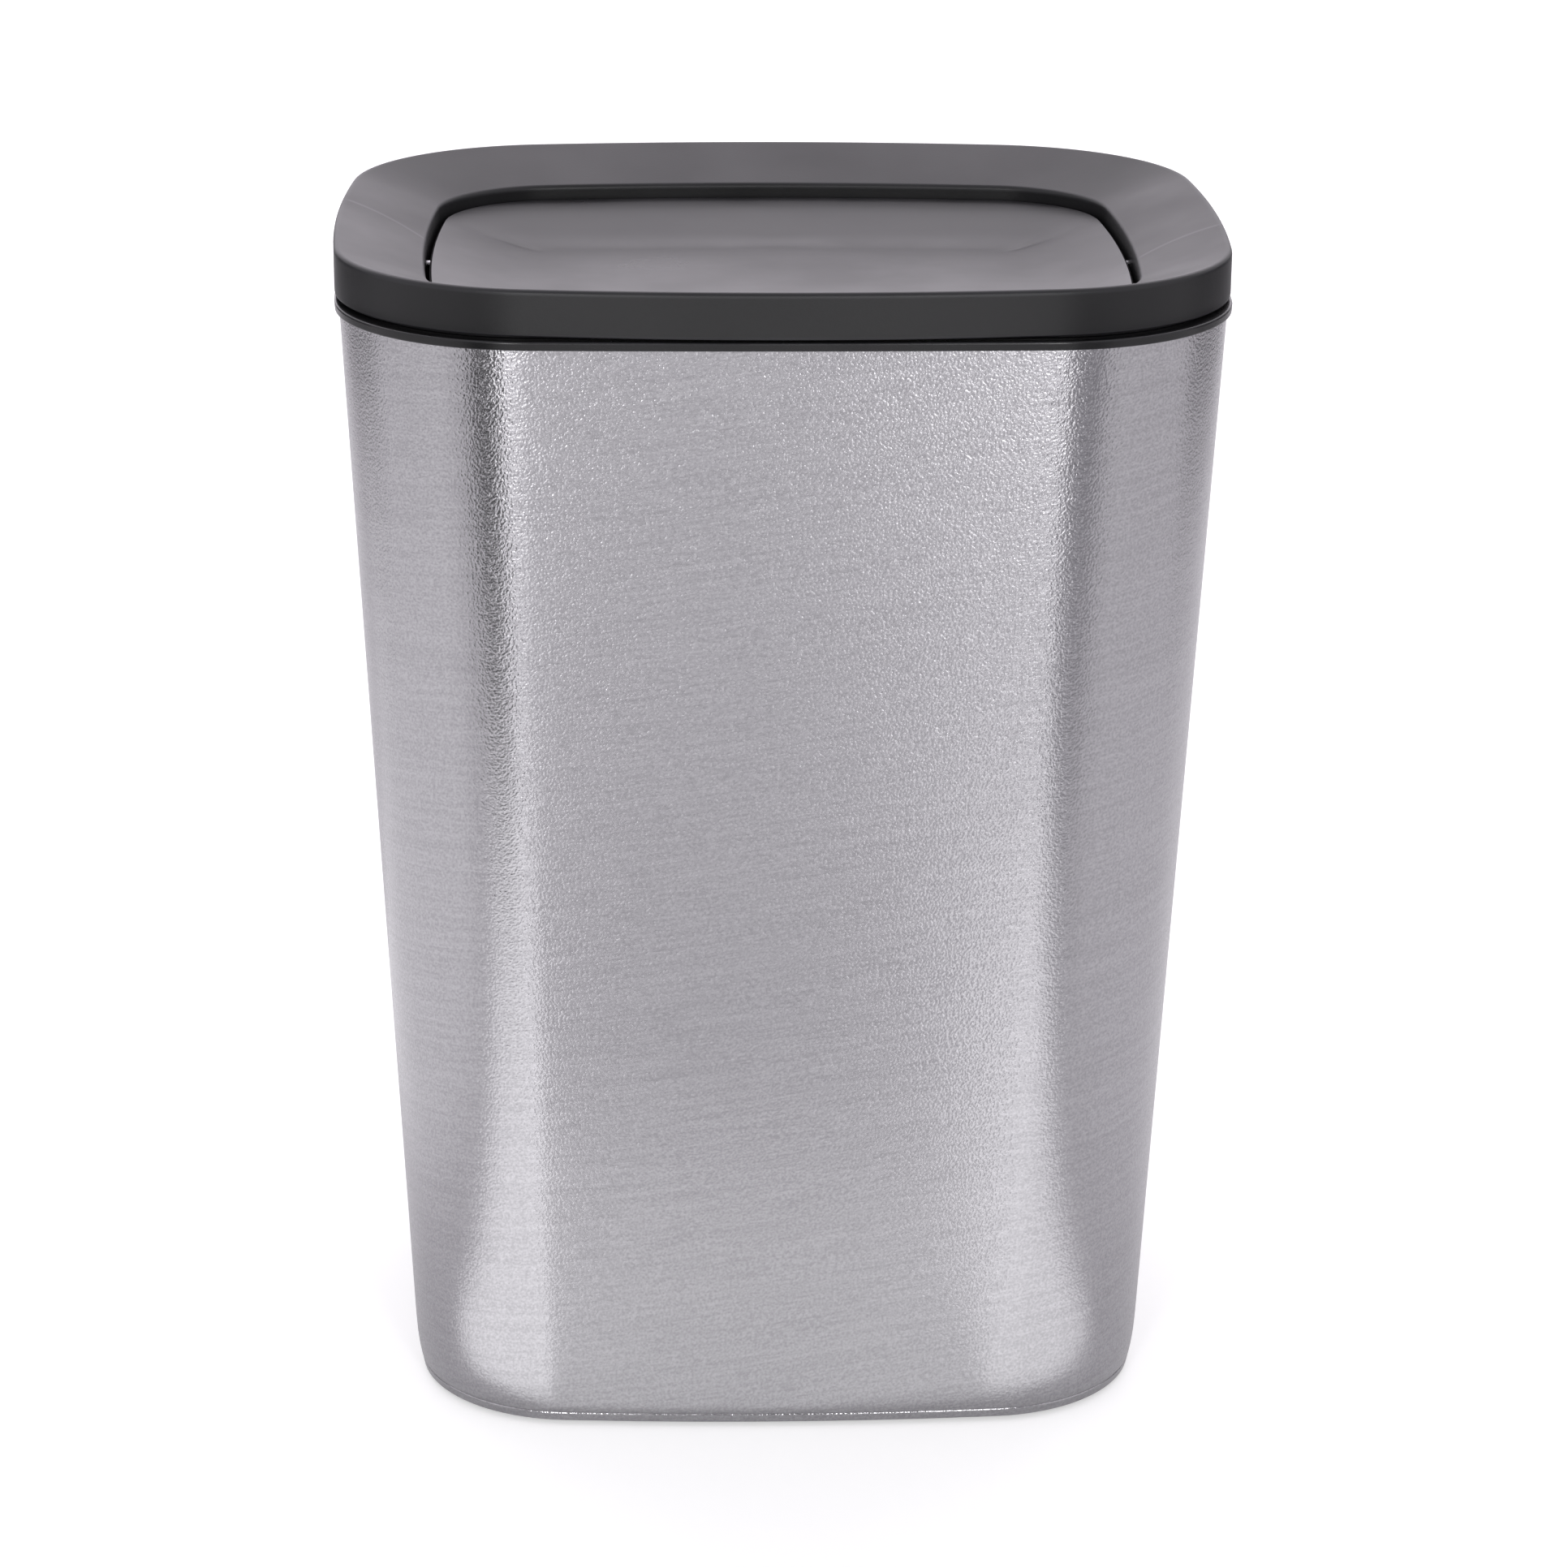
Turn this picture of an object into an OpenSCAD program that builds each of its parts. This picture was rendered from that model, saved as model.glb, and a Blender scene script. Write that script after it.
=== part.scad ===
// Push top countertop bin
// X is the width, Y the depth with the front at -Y, and Z is up from the table under the feet.

/* [Body] */
// Width of the steel body at its top
body_w = 187; // [165:1:205]
// Depth of the steel body at its top
body_d = 160; // [145:1:185]
// Height of the steel that shows, from the hem to the rim collar
body_h = 242.5; // [180:0.5:320]
// Corner radius of the body at its top
body_corner_r = 41; // [36:0.5:48]
// How far the front and the back bulge in the middle at the top
body_front_bow = 0.7; // [0.4:0.1:1.4]
// How far the two sides bulge in the middle
body_side_bow = 1; // [0.5:0.1:1.5]
// Thickness of the steel sheet
steel_t = 0.6; // [0.5:0.1:0.9]

/* [Foot of the body] */
// Width of the body at its foot
foot_w = 163; // [145:1:180]
// Depth of the body at its foot
foot_d = 143; // [125:1:158]
// Corner radius of the body at its foot
foot_corner_r = 35; // [30:0.5:42]
// How far the front and the back bulge in the middle at the foot
foot_front_bow = 1.6; // [0.4:0.1:2.4]
// Height over which the steel curls in at the foot
curl_h = 14; // [8:0.5:20]
// How far the curl brings the edge of the steel in
curl_in = 1.2; // [0.6:0.1:3]
// Width of the hem that turns in under the base pan
hem_w = 4; // [3:0.1:6]

/* [Rim collar] */
// Height of the collar lip that shows on the steel
lip_h = 1.8; // [1.5:0.1:4]
// How far the collar lip stands out from the steel
lip_proud = 0.9; // [0.7:0.1:1.5]
// Thickness of the collar's top web
web_t = 1; // [0.8:0.1:1.5]
// Thickness of the collar's leg inside the steel
leg_t = 2.8; // [2.4:0.1:3.5]
// Depth of the ledge that carries the bucket, below the collar's top
ledge_depth = 9.3; // [8.6:0.1:14]
// Width of the ledge
ledge_w = 2.6; // [2:0.1:4]
// Thickness of the ledge
ledge_t = 1.5; // [1:0.1:3]

/* [Inner bucket] */
// Thickness of the bucket's wall
bucket_t = 1.5; // [1:0.1:2.5]
// Thickness of the bucket's floor
bucket_floor_t = 1.8; // [1.2:0.1:3]
// Thickness of the bucket's lip
bucket_lip_t = 1.5; // [1:0.1:2]
// Gap between the bucket's floor and the base pan's floor
bucket_floor_gap = 4.4; // [2:0.1:8]

/* [Base pan and feet] */
// Thickness of the base pan
pan_t = 1.6; // [1.2:0.1:2.2]
// Thickness of the base pan's floor
pan_floor_t = 2; // [1.5:0.1:3]
// Height of the base pan's wall
pan_h = 12.4; // [9:0.1:20]
// Radius of a rubber foot
foot_r = 7; // [5:0.1:9]
// How far the feet stand below the steel hem
foot_proud = 1; // [0.8:0.1:3]
// Radius of the stem that holds a foot in the base pan
stem_r = 2.4; // [1.6:0.1:3.2]
// Distance from the hem's inner edge to a foot
foot_inset = 3; // [1:0.5:15]

/* [Lid frame] */
// How far the lid's band overhangs the steel in the middle of each side
lid_overhang = 1.5; // [1.2:0.1:2.5]
// How much larger the lid's corner radius is than the body's
corner_ease = 4.5; // [0:0.5:5]
// How far the front and the back of the lid bulge in the middle
lid_front_bow = 2.7; // [1.5:0.1:3.2]
// How far the sides of the lid bulge in the middle
lid_side_bow = 1.4; // [1:0.1:2]
// Height of the lid's outer band
band_h = 9.6; // [7.5:0.1:14]
// Height of the dark groove between the band and the collar
groove_h = 0.6; // [0.4:0.1:1.5]
// Width of the sloping ring seen from above
ring_w = 19; // [16:0.1:24]
// How far the ring slopes down towards the flap
ring_drop = 6.3; // [3:0.1:6.6]
// Thickness of the sloping ring
ring_t = 2; // [1.5:0.1:2.5]
// Thickness of the wall round the flap
wall_t = 1.8; // [1.4:0.1:2.4]
// Height of the wall round the flap
wall_h = 10.9; // [9:0.1:16]
// Depth of the plug that reaches into the collar
plug_depth = 6.3; // [4:0.1:6.8]
// Thickness of the plug
plug_t = 1.5; // [1.2:0.1:2]
// Width of the shoulder that rests on the collar
shoulder_w = 0.9; // [0.7:0.1:1.2]

/* [Flap] */
// Gap between the flap and the wall round it
flap_gap = 1; // [0.8:0.1:2]
// How far the flap's edge lies below the ring's inner edge
flap_sink = 2.9; // [1:0.1:4]
// Width of the flap's sloping margin at its left and right
side_margin = 17; // [14:0.5:24]
// Width of the flap's sloping margin at its front and back
front_margin = 29; // [22:0.5:32]
// Depth of the dish below the flap's edge
dish_depth = 4.5; // [2:0.1:5]
// Thickness of the flap
flap_t = 1.8; // [1.4:0.1:2]
// Height of the rim under the flap's edge
rim_h = 4.6; // [4.4:0.1:7]
// Thickness of that rim
rim_t = 1.6; // [1.2:0.1:2.2]
// Height of the stiffening ribs under the flap
rib_h = 3; // [1.5:0.1:6]
// Thickness of the ribs
rib_t = 1.6; // [1.2:0.1:2.5]

/* [Pivot] */
// Radius of a pivot pin
pin_r = 0.8; // [0.7:0.05:0.9]
// How far the pin's axis lies below the flap's edge
pin_drop = 2.4; // [2.3:0.1:2.8]
// Length of pin held in the flap
pin_in_flap = 4; // [3:0.1:4.5]
// Length of pin that runs in the lid frame
pin_in_frame = 4; // [3:0.1:6]
// Radius of the bearing boss on the lid frame
boss_r = 3; // [2.2:0.1:3.4]

/* [Fits] */
// Running clearance round a pin, on the radius
running_fit = 0.05; // [0.02:0.01:0.08]
// Clearance between parts that lift out of each other
lift_gap = 0.3; // [0.3:0.05:0.5]
// Clearance beside the steel edge in the collar's slot
slot_gap = 0.15; // [0.1:0.05:0.2]

/* [Hidden] */
$fn = 64;

// Segments of an outline: along half a side, round a corner and along half the front
side_n = 3;
corner_n = 10;
front_n = 3;

steel_colour = [0.70, 0.69, 0.71];
plastic_colour = [0.16, 0.16, 0.17];
flap_colour = [0.22, 0.22, 0.23];
bucket_colour = [0.10, 0.10, 0.11];
rubber_colour = [0.06, 0.06, 0.06];
pin_colour = [0.78, 0.78, 0.80];

// An outline is [half width, half depth, front bow, side bow, corner radius]
top_outline = [body_w / 2, body_d / 2, body_front_bow, body_side_bow, body_corner_r];
foot_outline = [foot_w / 2, foot_d / 2, foot_front_bow, body_side_bow, foot_corner_r];
lid_outline = [body_w / 2 + lid_overhang, body_d / 2 + lid_overhang,
    lid_front_bow, lid_side_bow, body_corner_r + corner_ease];

// Heights
hem_z = foot_proud;
pan_z = hem_z + steel_t;
lip_z = hem_z + body_h;
collar_z = lip_z + lip_h;
steel_top_z = collar_z - web_t;
ledge_z = collar_z - ledge_depth;
band_z = collar_z + groove_h;
lid_z = band_z + band_h;
ring_z = lid_z - ring_drop;
flap_z = ring_z - flap_sink;
pin_z = flap_z - pin_drop;
bucket_z = pan_z + pan_floor_t + bucket_floor_gap;
bucket_lip_z = ledge_z + bucket_lip_t;

// Offsets inwards from the outer face of the body
leg_out = steel_t + slot_gap;
leg_in = leg_out + leg_t;
ledge_in = leg_in + ledge_w;
bucket_out = ledge_in + lift_gap;
bucket_in = bucket_out + bucket_t;
plug_out = leg_in + lift_gap;
plug_in = plug_out + plug_t;
shoulder_out = plug_out - shoulder_w;
pan_out = curl_in + 2 * steel_t;
pan_in = pan_out + pan_t;
hem_in = curl_in + steel_t + hem_w;

// Offsets inwards from the outer face of the lid's band
wall_out = ring_w - wall_t;
flap_out = ring_w + flap_gap;

// Radii of the rounded edges, and how far the middle of a round lies from its faces, per radius
edge_r = 0.9;
soft_r = 0.4;
bend_r = 1.8;
round_mid = 1 - cos(45);

// Small fixed sizes of the fittings
foot_head_h = 1.2;
foot_head_w = 0.8;
pin_chamfer = 0.25;
boss_end_t = 1;
pin_block_w = 5;
pin_cover = 1;

// How far pieces that are moulded as one reach into each other
weld = 0.6;

// Bulge of the sides and radius of the corners of the flap's flat floor
floor_bow = 1;
floor_corner_r = 6;

// Places of the flap's ribs from its middle
rib_x = 25;
rib_y = 18;

function mix(low, high, share) = low + (high - low) * share;

// Outline of the body at a height: the taper runs in a straight line from the foot to the lip
function body_at(z) = mix(foot_outline, top_outline, (z - hem_z) / body_h);

// Radius of a long arc that bulges by its bow over half its length
function bow_radius(half, bow) = half * half / (2 * bow) + bow / 2;

// Points of one quarter, from the middle of a side to the middle of the front, moved in by inset
function quarter(o, inset) =
    let (rf = bow_radius(o[0] - o[4], o[2]))
    let (rs = bow_radius(o[1] - o[4], o[3]))
    let (front = [0, o[1] - rf])
    let (side = [o[0] - rs, 0])
    let (gap = norm(side - front))
    let (u = (side - front) / gap)
    let (k = (pow(rf - o[4], 2) - pow(rs - o[4], 2) + gap * gap) / (2 * gap))
    let (h = sqrt(pow(rf - o[4], 2) - k * k))
    let (c = front + k * u + h * [u[1], -u[0]])
    let (a0 = atan2(c[1] - side[1], c[0] - side[0]))
    let (a1 = atan2(c[1] - front[1], c[0] - front[0]))
    [
        for (i = [0:side_n - 1]) side + (rs - inset) * turn(mix(0, a0, i / side_n)),
        for (i = [0:corner_n - 1]) c + (o[4] - inset) * turn(mix(a0, a1, i / corner_n)),
        for (i = [0:front_n]) front + (rf - inset) * turn(mix(a1, 90, i / front_n))
    ];

function turn(angle) = [cos(angle), sin(angle)];

// The whole outline as a ring of points at height z
function ring(o, inset, z) =
    let (q = quarter(o, inset))
    let (n = len(q) - 1)
    [
        for (i = [0:n]) [q[i][0], q[i][1], z],
        for (i = [n - 1:-1:0]) [-q[i][0], q[i][1], z],
        for (i = [1:n]) [-q[i][0], -q[i][1], z],
        for (i = [n - 1:-1:1]) [q[i][0], -q[i][1], z]
    ];

function body_ring(inset, z) = ring(body_at(z), inset, z);
function lid_ring(inset, z) = ring(lid_outline, inset, z);

// Two triangles for each step between ring j and ring k of n points
function skin(j, k, n) = [
    for (i = [0:n - 1]) [j * n + i, k * n + (i + 1) % n, j * n + (i + 1) % n],
    for (i = [0:n - 1]) [j * n + i, k * n + i, k * n + (i + 1) % n]
];

// A closed section swept round the body: the last ring joins the first
module hoop(rings) {
    n = len(rings[0]);
    m = len(rings);
    points = [for (r = rings) each r];
    faces = [for (j = [0:m - 1]) each skin((j + 1) % m, j, n)];
    polyhedron(points = points, faces = faces, convexity = 6);
}

// A cup or a tray: the first and the last ring are closed by flat faces
module cup(rings) {
    n = len(rings[0]);
    m = len(rings);
    points = [for (r = rings) each r];
    walls = [for (j = [0:m - 2]) each skin(j, j + 1, n)];
    first = [for (i = [0:n - 1]) i];
    last = [for (i = [n - 1:-1:0]) (m - 1) * n + i];
    polyhedron(points = points, faces = concat([first], walls, [last]), convexity = 6);
}

// How far the steel has curled in at a height, from nothing to curl_in at the hem
function curl(z) = z > hem_z + curl_h ? 0 : curl_in * pow(1 - (z - hem_z) / curl_h, 3);

module steel_sleeve() {
    curl_steps = [1, 0.6, 0.32, 0.12];
    outer = [for (s = curl_steps) body_ring(curl(hem_z + s * curl_h), hem_z + s * curl_h)];
    inner = [for (s = curl_steps) body_ring(curl(hem_z + s * curl_h) + steel_t, hem_z + s * curl_h)];
    hem_bend = steel_t;
    color(steel_colour)
        hoop(concat(
            [body_ring(0, steel_top_z)],
            outer,
            [body_ring(curl_in, hem_z + hem_bend / 2)],
            [body_ring(curl_in + hem_bend, hem_z)],
            [body_ring(hem_in, hem_z)],
            [body_ring(hem_in, pan_z)],
            [body_ring(curl_in + 1.5 * steel_t, pan_z)],
            [for (i = [len(inner) - 1:-1:0]) inner[i]],
            [body_ring(steel_t, steel_top_z)]
        ));
}

// Places a child on the diagonal of a corner: side is -1 or 1 along X, face is -1 or 1 along Y
module at_foot(side, face) {
    reach = (foot_corner_r - hem_in - foot_inset - foot_r) * cos(45);
    x = foot_w / 2 - body_side_bow - foot_corner_r + reach;
    y = foot_d / 2 - foot_front_bow - foot_corner_r + reach;
    translate([side * x, face * y, 0])
        children();
}

module base_pan() {
    top = pan_z + pan_h;
    inner_z = pan_z + pan_floor_t;
    color(bucket_colour)
        difference() {
            cup([
                body_ring(pan_out + edge_r, pan_z),
                body_ring(pan_out, pan_z + edge_r),
                body_ring(pan_out, top),
                body_ring(pan_in, top),
                body_ring(pan_in, inner_z + edge_r),
                body_ring(pan_in + edge_r, inner_z)
            ]);
            for (side = [-1, 1]) {
                for (face = [-1, 1]) {
                    at_foot(side, face)
                        cylinder(r = stem_r, h = inner_z + pan_h);
                }
            }
        }
}

// A rubber foot: a pad under the pan, a stem through its floor and a head that holds it there
module foot(side, face) {
    head_z = pan_z + pan_floor_t;
    color(rubber_colour)
        at_foot(side, face)
            rotate_extrude()
                polygon([
                    [0, 0],
                    [foot_r - soft_r, 0],
                    [foot_r, soft_r],
                    [foot_r, pan_z],
                    [stem_r, pan_z],
                    [stem_r, head_z],
                    [stem_r + foot_head_w, head_z],
                    [stem_r, head_z + foot_head_h],
                    [0, head_z + foot_head_h]
                ]);
}

module foot_front_left() {
    foot(-1, -1);
}

module foot_front_right() {
    foot(1, -1);
}

module foot_rear_left() {
    foot(-1, 1);
}

module foot_rear_right() {
    foot(1, 1);
}

module rim_collar() {
    color(plastic_colour)
        hoop([
            body_ring(-lip_proud, lip_z),
            body_ring(-slot_gap, lip_z),
            body_ring(-slot_gap, steel_top_z),
            body_ring(leg_out, steel_top_z),
            body_ring(leg_out, ledge_z - ledge_t),
            body_ring(ledge_in, ledge_z - ledge_t),
            body_ring(ledge_in, ledge_z),
            body_ring(leg_in, ledge_z),
            body_ring(leg_in, collar_z),
            body_ring(soft_r - lip_proud, collar_z),
            body_ring(-lip_proud, collar_z - soft_r)
        ]);
}

module inner_bucket() {
    inner_z = bucket_z + bucket_floor_t;
    mid = bend_r * round_mid;
    color(bucket_colour)
        cup([
            body_ring(bucket_out + bend_r, bucket_z),
            body_ring(bucket_out + mid, bucket_z + mid),
            body_ring(bucket_out, bucket_z + bend_r),
            body_ring(bucket_out, ledge_z),
            body_ring(plug_out, ledge_z),
            body_ring(plug_out, bucket_lip_z),
            body_ring(bucket_in, bucket_lip_z),
            body_ring(bucket_in, inner_z + bend_r),
            body_ring(bucket_in + mid, inner_z + mid),
            body_ring(bucket_in + bend_r, inner_z)
        ]);
}

// Height of the ring's sloping top at an inset from the lid's band: it starts at the rounded rim
function ring_top(inset) = lid_z - ring_drop * (inset - edge_r) / (ring_w - edge_r);

module lid_frame() {
    wall_foot_z = ring_z - wall_h;
    under_z = ring_top(wall_out) - ring_t;
    plug_top_z = ring_top(plug_in + lid_overhang) - ring_t;
    boss_len = running_fit + pin_in_frame + boss_end_t;
    wall_x = lid_outline[0] - ring_w;
    web_x = wall_x + wall_t / 2;
    mid = edge_r * round_mid;
    color(plastic_colour)
        difference() {
            union() {
                hoop([
                    lid_ring(soft_r, band_z),
                    body_ring(shoulder_out, band_z),
                    body_ring(shoulder_out, collar_z),
                    body_ring(plug_out, collar_z),
                    body_ring(plug_out, collar_z - plug_depth),
                    body_ring(plug_in, collar_z - plug_depth),
                    body_ring(plug_in, plug_top_z),
                    lid_ring(wall_out, under_z),
                    lid_ring(wall_out, wall_foot_z),
                    lid_ring(ring_w, wall_foot_z),
                    lid_ring(ring_w, ring_z - edge_r),
                    lid_ring(ring_w - mid, ring_z - mid),
                    lid_ring(ring_w - edge_r, ring_top(ring_w - edge_r)),
                    lid_ring(edge_r, lid_z),
                    lid_ring(mid, lid_z - mid),
                    lid_ring(0, lid_z - edge_r),
                    lid_ring(0, band_z + soft_r)
                ]);
                for (side = [0, 1]) {
                    mirror([side, 0, 0]) {
                        translate([web_x, 0, pin_z])
                            rotate([0, 90, 0])
                                cylinder(r = boss_r, h = boss_len);
                        translate([web_x + boss_len - weld, -rib_t / 2, pin_z - boss_r / 2])
                            cube([body_w / 2 - plug_in + weld - web_x - boss_len + weld, rib_t, boss_r]);
                    }
                }
            }
            for (side = [0, 1]) {
                mirror([side, 0, 0])
                    translate([wall_x - weld, 0, pin_z])
                        rotate([0, 90, 0])
                            cylinder(r = pin_r + running_fit, h = weld + pin_in_frame + wall_t / 2);
            }
        }
}

// The flap: a flat floor, a margin that slopes up to the edge, and a rim under the edge
module flap() {
    floor_outline = [lid_outline[0] - flap_out - side_margin, lid_outline[1] - flap_out - front_margin,
        floor_bow, floor_bow, floor_corner_r];
    flap_x = lid_outline[0] - flap_out;
    floor_z = flap_z - dish_depth - flap_t;
    rim_drop = flap_t + dish_depth * rim_t / side_margin;
    rib_long = 2 * floor_outline[0] - rib_t;
    rib_short = 2 * floor_outline[1] - rib_t;
    block_len = pin_in_flap + pin_cover;
    color(flap_colour)
        difference() {
            union() {
                cup([
                    ring(floor_outline, 0, floor_z),
                    lid_ring(flap_out + rim_t, flap_z - rim_drop),
                    lid_ring(flap_out + rim_t, flap_z - rim_h),
                    lid_ring(flap_out, flap_z - rim_h),
                    lid_ring(flap_out, flap_z - soft_r),
                    lid_ring(flap_out + soft_r, flap_z),
                    ring(floor_outline, 0, flap_z - dish_depth)
                ]);
                for (y = [-rib_y, rib_y]) {
                    translate([-rib_long / 2, y - rib_t / 2, floor_z - rib_h])
                        cube([rib_long, rib_t, rib_h + weld]);
                }
                for (x = [-rib_x, rib_x]) {
                    translate([x - rib_t / 2, -rib_short / 2, floor_z - rib_h])
                        cube([rib_t, rib_short, rib_h + weld]);
                }
                for (side = [0, 1]) {
                    mirror([side, 0, 0])
                        translate([flap_x - block_len, -pin_block_w / 2, flap_z - rim_h])
                            cube([block_len - rim_t / 2, pin_block_w, rim_h - pin_drop + pin_r]);
                }
            }
            for (side = [0, 1]) {
                mirror([side, 0, 0])
                    translate([flap_x - pin_in_flap, 0, pin_z])
                        rotate([0, 90, 0])
                            cylinder(r = pin_r, h = pin_in_flap + weld);
            }
        }
}

// A steel pin: side is 0 for the right and 1 for the left
module pivot_pin(side) {
    start_x = lid_outline[0] - flap_out - pin_in_flap;
    end_x = lid_outline[0] - ring_w + pin_in_frame;
    color(pin_colour)
        mirror([side, 0, 0])
            translate([start_x, 0, pin_z])
                rotate([0, 90, 0])
                    rotate_extrude()
                        polygon([
                            [0, 0],
                            [pin_r, 0],
                            [pin_r, end_x - start_x - pin_chamfer],
                            [pin_r - pin_chamfer, end_x - start_x],
                            [0, end_x - start_x]
                        ]);
}

module pivot_pin_left() {
    pivot_pin(1);
}

module pivot_pin_right() {
    pivot_pin(0);
}

steel_sleeve();
base_pan();
foot_front_left();
foot_front_right();
foot_rear_left();
foot_rear_right();
rim_collar();
inner_bucket();
lid_frame();
flap();
pivot_pin_left();
pivot_pin_right();
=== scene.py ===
"""Dresses the push top countertop bin for the photograph's view.

The frame is the part's own: +Z up, the front at -Y, the origin on the table under the middle
of the bin. Drawing sizes are in millimetres, as on the part's drawing, and become metres when
a mesh is made.
"""

import logging
import math
from collections.abc import Mapping, Sequence
from dataclasses import dataclass
from enum import Enum
from typing import Any

import bmesh
import bpy
import numpy as np
from mathutils import Matrix, Vector


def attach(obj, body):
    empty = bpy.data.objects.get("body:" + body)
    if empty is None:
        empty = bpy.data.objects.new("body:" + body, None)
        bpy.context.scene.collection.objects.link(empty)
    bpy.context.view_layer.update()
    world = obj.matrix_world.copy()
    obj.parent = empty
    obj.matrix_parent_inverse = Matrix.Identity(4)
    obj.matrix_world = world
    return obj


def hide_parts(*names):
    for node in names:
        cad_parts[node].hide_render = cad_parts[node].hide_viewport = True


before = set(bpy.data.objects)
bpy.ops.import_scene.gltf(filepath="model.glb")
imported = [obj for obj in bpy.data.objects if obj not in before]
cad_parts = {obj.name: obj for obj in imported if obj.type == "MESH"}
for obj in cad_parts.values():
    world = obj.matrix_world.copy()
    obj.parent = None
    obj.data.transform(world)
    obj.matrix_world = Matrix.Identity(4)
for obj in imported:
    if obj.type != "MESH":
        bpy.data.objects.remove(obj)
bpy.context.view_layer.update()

log = logging.getLogger("countertop_bin")

MM = 0.001
SHARP_ANGLE = 35.0

Ring = np.ndarray
Piece = bpy.types.Object
Tree = bpy.types.NodeTree
Node = bpy.types.Node
Value = float | Sequence[float] | Node | bpy.types.NodeSocket


class Body(Enum):
    """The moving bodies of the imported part."""

    SHELL = "shell"
    BUCKET = "bucket"
    LID = "lid"
    FLAP = "flap"


class Slot(Enum):
    """The material slots of the part's record."""

    STEEL = "brushed_stainless"
    COLLAR = "collar_plastic"
    LID = "lid_plastic"
    FLAP = "flap_plastic"
    BUCKET = "bucket_plastic"
    BASE = "base_plastic"
    RUBBER = "foot_rubber"
    PIN = "pin_steel"


class Pattern(Enum):
    """Names of the point attributes that carry a shape's facts to its finish."""

    EDGE = "edge_wear"


# Colours and nodes


def linear(code: str) -> tuple[float, float, float, float]:
    """Turns an sRGB hex colour into linear light.

    Args:
        code: The colour as "#RRGGBB".

    Returns:
        Linear red, green and blue, with an alpha of 1.
    """
    parts = [int(code[i : i + 2], 16) / 255 for i in (1, 3, 5)]
    light = [c / 12.92 if c <= 0.04045 else ((c + 0.055) / 1.055) ** 2.4 for c in parts]
    return (light[0], light[1], light[2], 1.0)


def add(
    tree: Tree,
    kind: str,
    inputs: Mapping[str | int, Value] | Sequence[Value] = (),
    **settings: Any,
) -> Node:
    """Adds a node with its settings, its input values and its links.

    Args:
        tree: The node tree that gets the node.
        kind: The node's type name.
        inputs: The inputs in order, or by name or number. Each is a constant, an output to link
            from, or a node whose first output is linked.
        **settings: The node's own properties.

    Returns:
        The new node.
    """
    node = tree.nodes.new(kind)
    for name, value in settings.items():
        setattr(node, name, value)
    for key, value in inputs.items() if isinstance(inputs, Mapping) else enumerate(inputs):
        if isinstance(value, Node):
            value = value.outputs[0]
        if isinstance(value, bpy.types.NodeSocket):
            tree.links.new(value, node.inputs[key])
        else:
            node.inputs[key].default_value = value
    return node


def new_tree(made: bpy.types.Material | bpy.types.World) -> Tree:
    """Gives a material or a world an empty node tree.

    Args:
        made: The material or the world.

    Returns:
        Its node tree.
    """
    made.use_nodes = True
    made.node_tree.nodes.clear()
    return made.node_tree


# Shapes


def mix(low: float, high: float, share: float) -> float:
    """Returns the value that lies a share of the way from low to high."""
    return low + (high - low) * share


@dataclass(frozen=True)
class Outline:
    """A rounded rectangle whose four sides bulge a little, in millimetres."""

    half_w: float
    half_d: float
    front_bow: float
    side_bow: float
    corner_r: float
    side_n: int = 8
    corner_n: int = 22
    front_n: int = 10

    def mixed(self, other: "Outline", share: float) -> "Outline":
        """Returns the outline that lies a share of the way to another."""
        names = ("half_w", "half_d", "front_bow", "side_bow", "corner_r")
        return Outline(*(mix(getattr(self, n), getattr(other, n), share) for n in names))

    def quarter(self, inset: float) -> list[tuple[float, float]]:
        """Lays out one quarter, from the middle of the right side to the middle of the back.

        Args:
            inset: How far every arc is moved in.

        Returns:
            Points on the side's arc, the corner's arc and the back's arc.
        """
        long_half, short_half = self.half_w - self.corner_r, self.half_d - self.corner_r
        front_r = long_half**2 / (2 * self.front_bow) + self.front_bow / 2
        side_r = short_half**2 / (2 * self.side_bow) + self.side_bow / 2
        front = Vector((0, self.half_d - front_r))
        side = Vector((self.half_w - side_r, 0))
        gap = (side - front).length
        along = (side - front) / gap
        reach = ((front_r - self.corner_r) ** 2 - (side_r - self.corner_r) ** 2 + gap**2) / (2 * gap)
        rise = math.sqrt((front_r - self.corner_r) ** 2 - reach**2)
        corner = front + along * reach + Vector((along.y, -along.x)) * rise
        start = math.atan2(corner.y - side.y, corner.x - side.x)
        end = math.atan2(corner.y - front.y, corner.x - front.x)
        arcs = (
            (side, side_r, 0.0, start, self.side_n),
            (corner, self.corner_r, start, end, self.corner_n),
            (front, front_r, end, math.pi / 2, self.front_n),
        )
        points = []
        for centre, radius, low, high, steps in arcs:
            for i in range(steps):
                turn = mix(low, high, i / steps)
                reach_x, reach_y = (radius - inset) * math.cos(turn), (radius - inset) * math.sin(turn)
                points.append((centre.x + reach_x, centre.y + reach_y))
        points.append((0.0, self.half_d - inset))
        return points

    def ring(self, inset: float, z: float) -> Ring:
        """Lays out the whole outline at one height.

        Args:
            inset: How far the outline is moved in.
            z: The height.

        Returns:
            The points of the closed outline, counterclockwise from the middle of the right side.
        """
        quarter = self.quarter(inset)
        last = len(quarter) - 1
        loop = list(quarter)
        loop += [(-quarter[i][0], quarter[i][1]) for i in range(last - 1, -1, -1)]
        loop += [(-quarter[i][0], -quarter[i][1]) for i in range(1, last + 1)]
        loop += [(quarter[i][0], -quarter[i][1]) for i in range(last - 1, 0, -1)]
        return np.array([(x, y, z) for x, y in loop])


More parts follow.
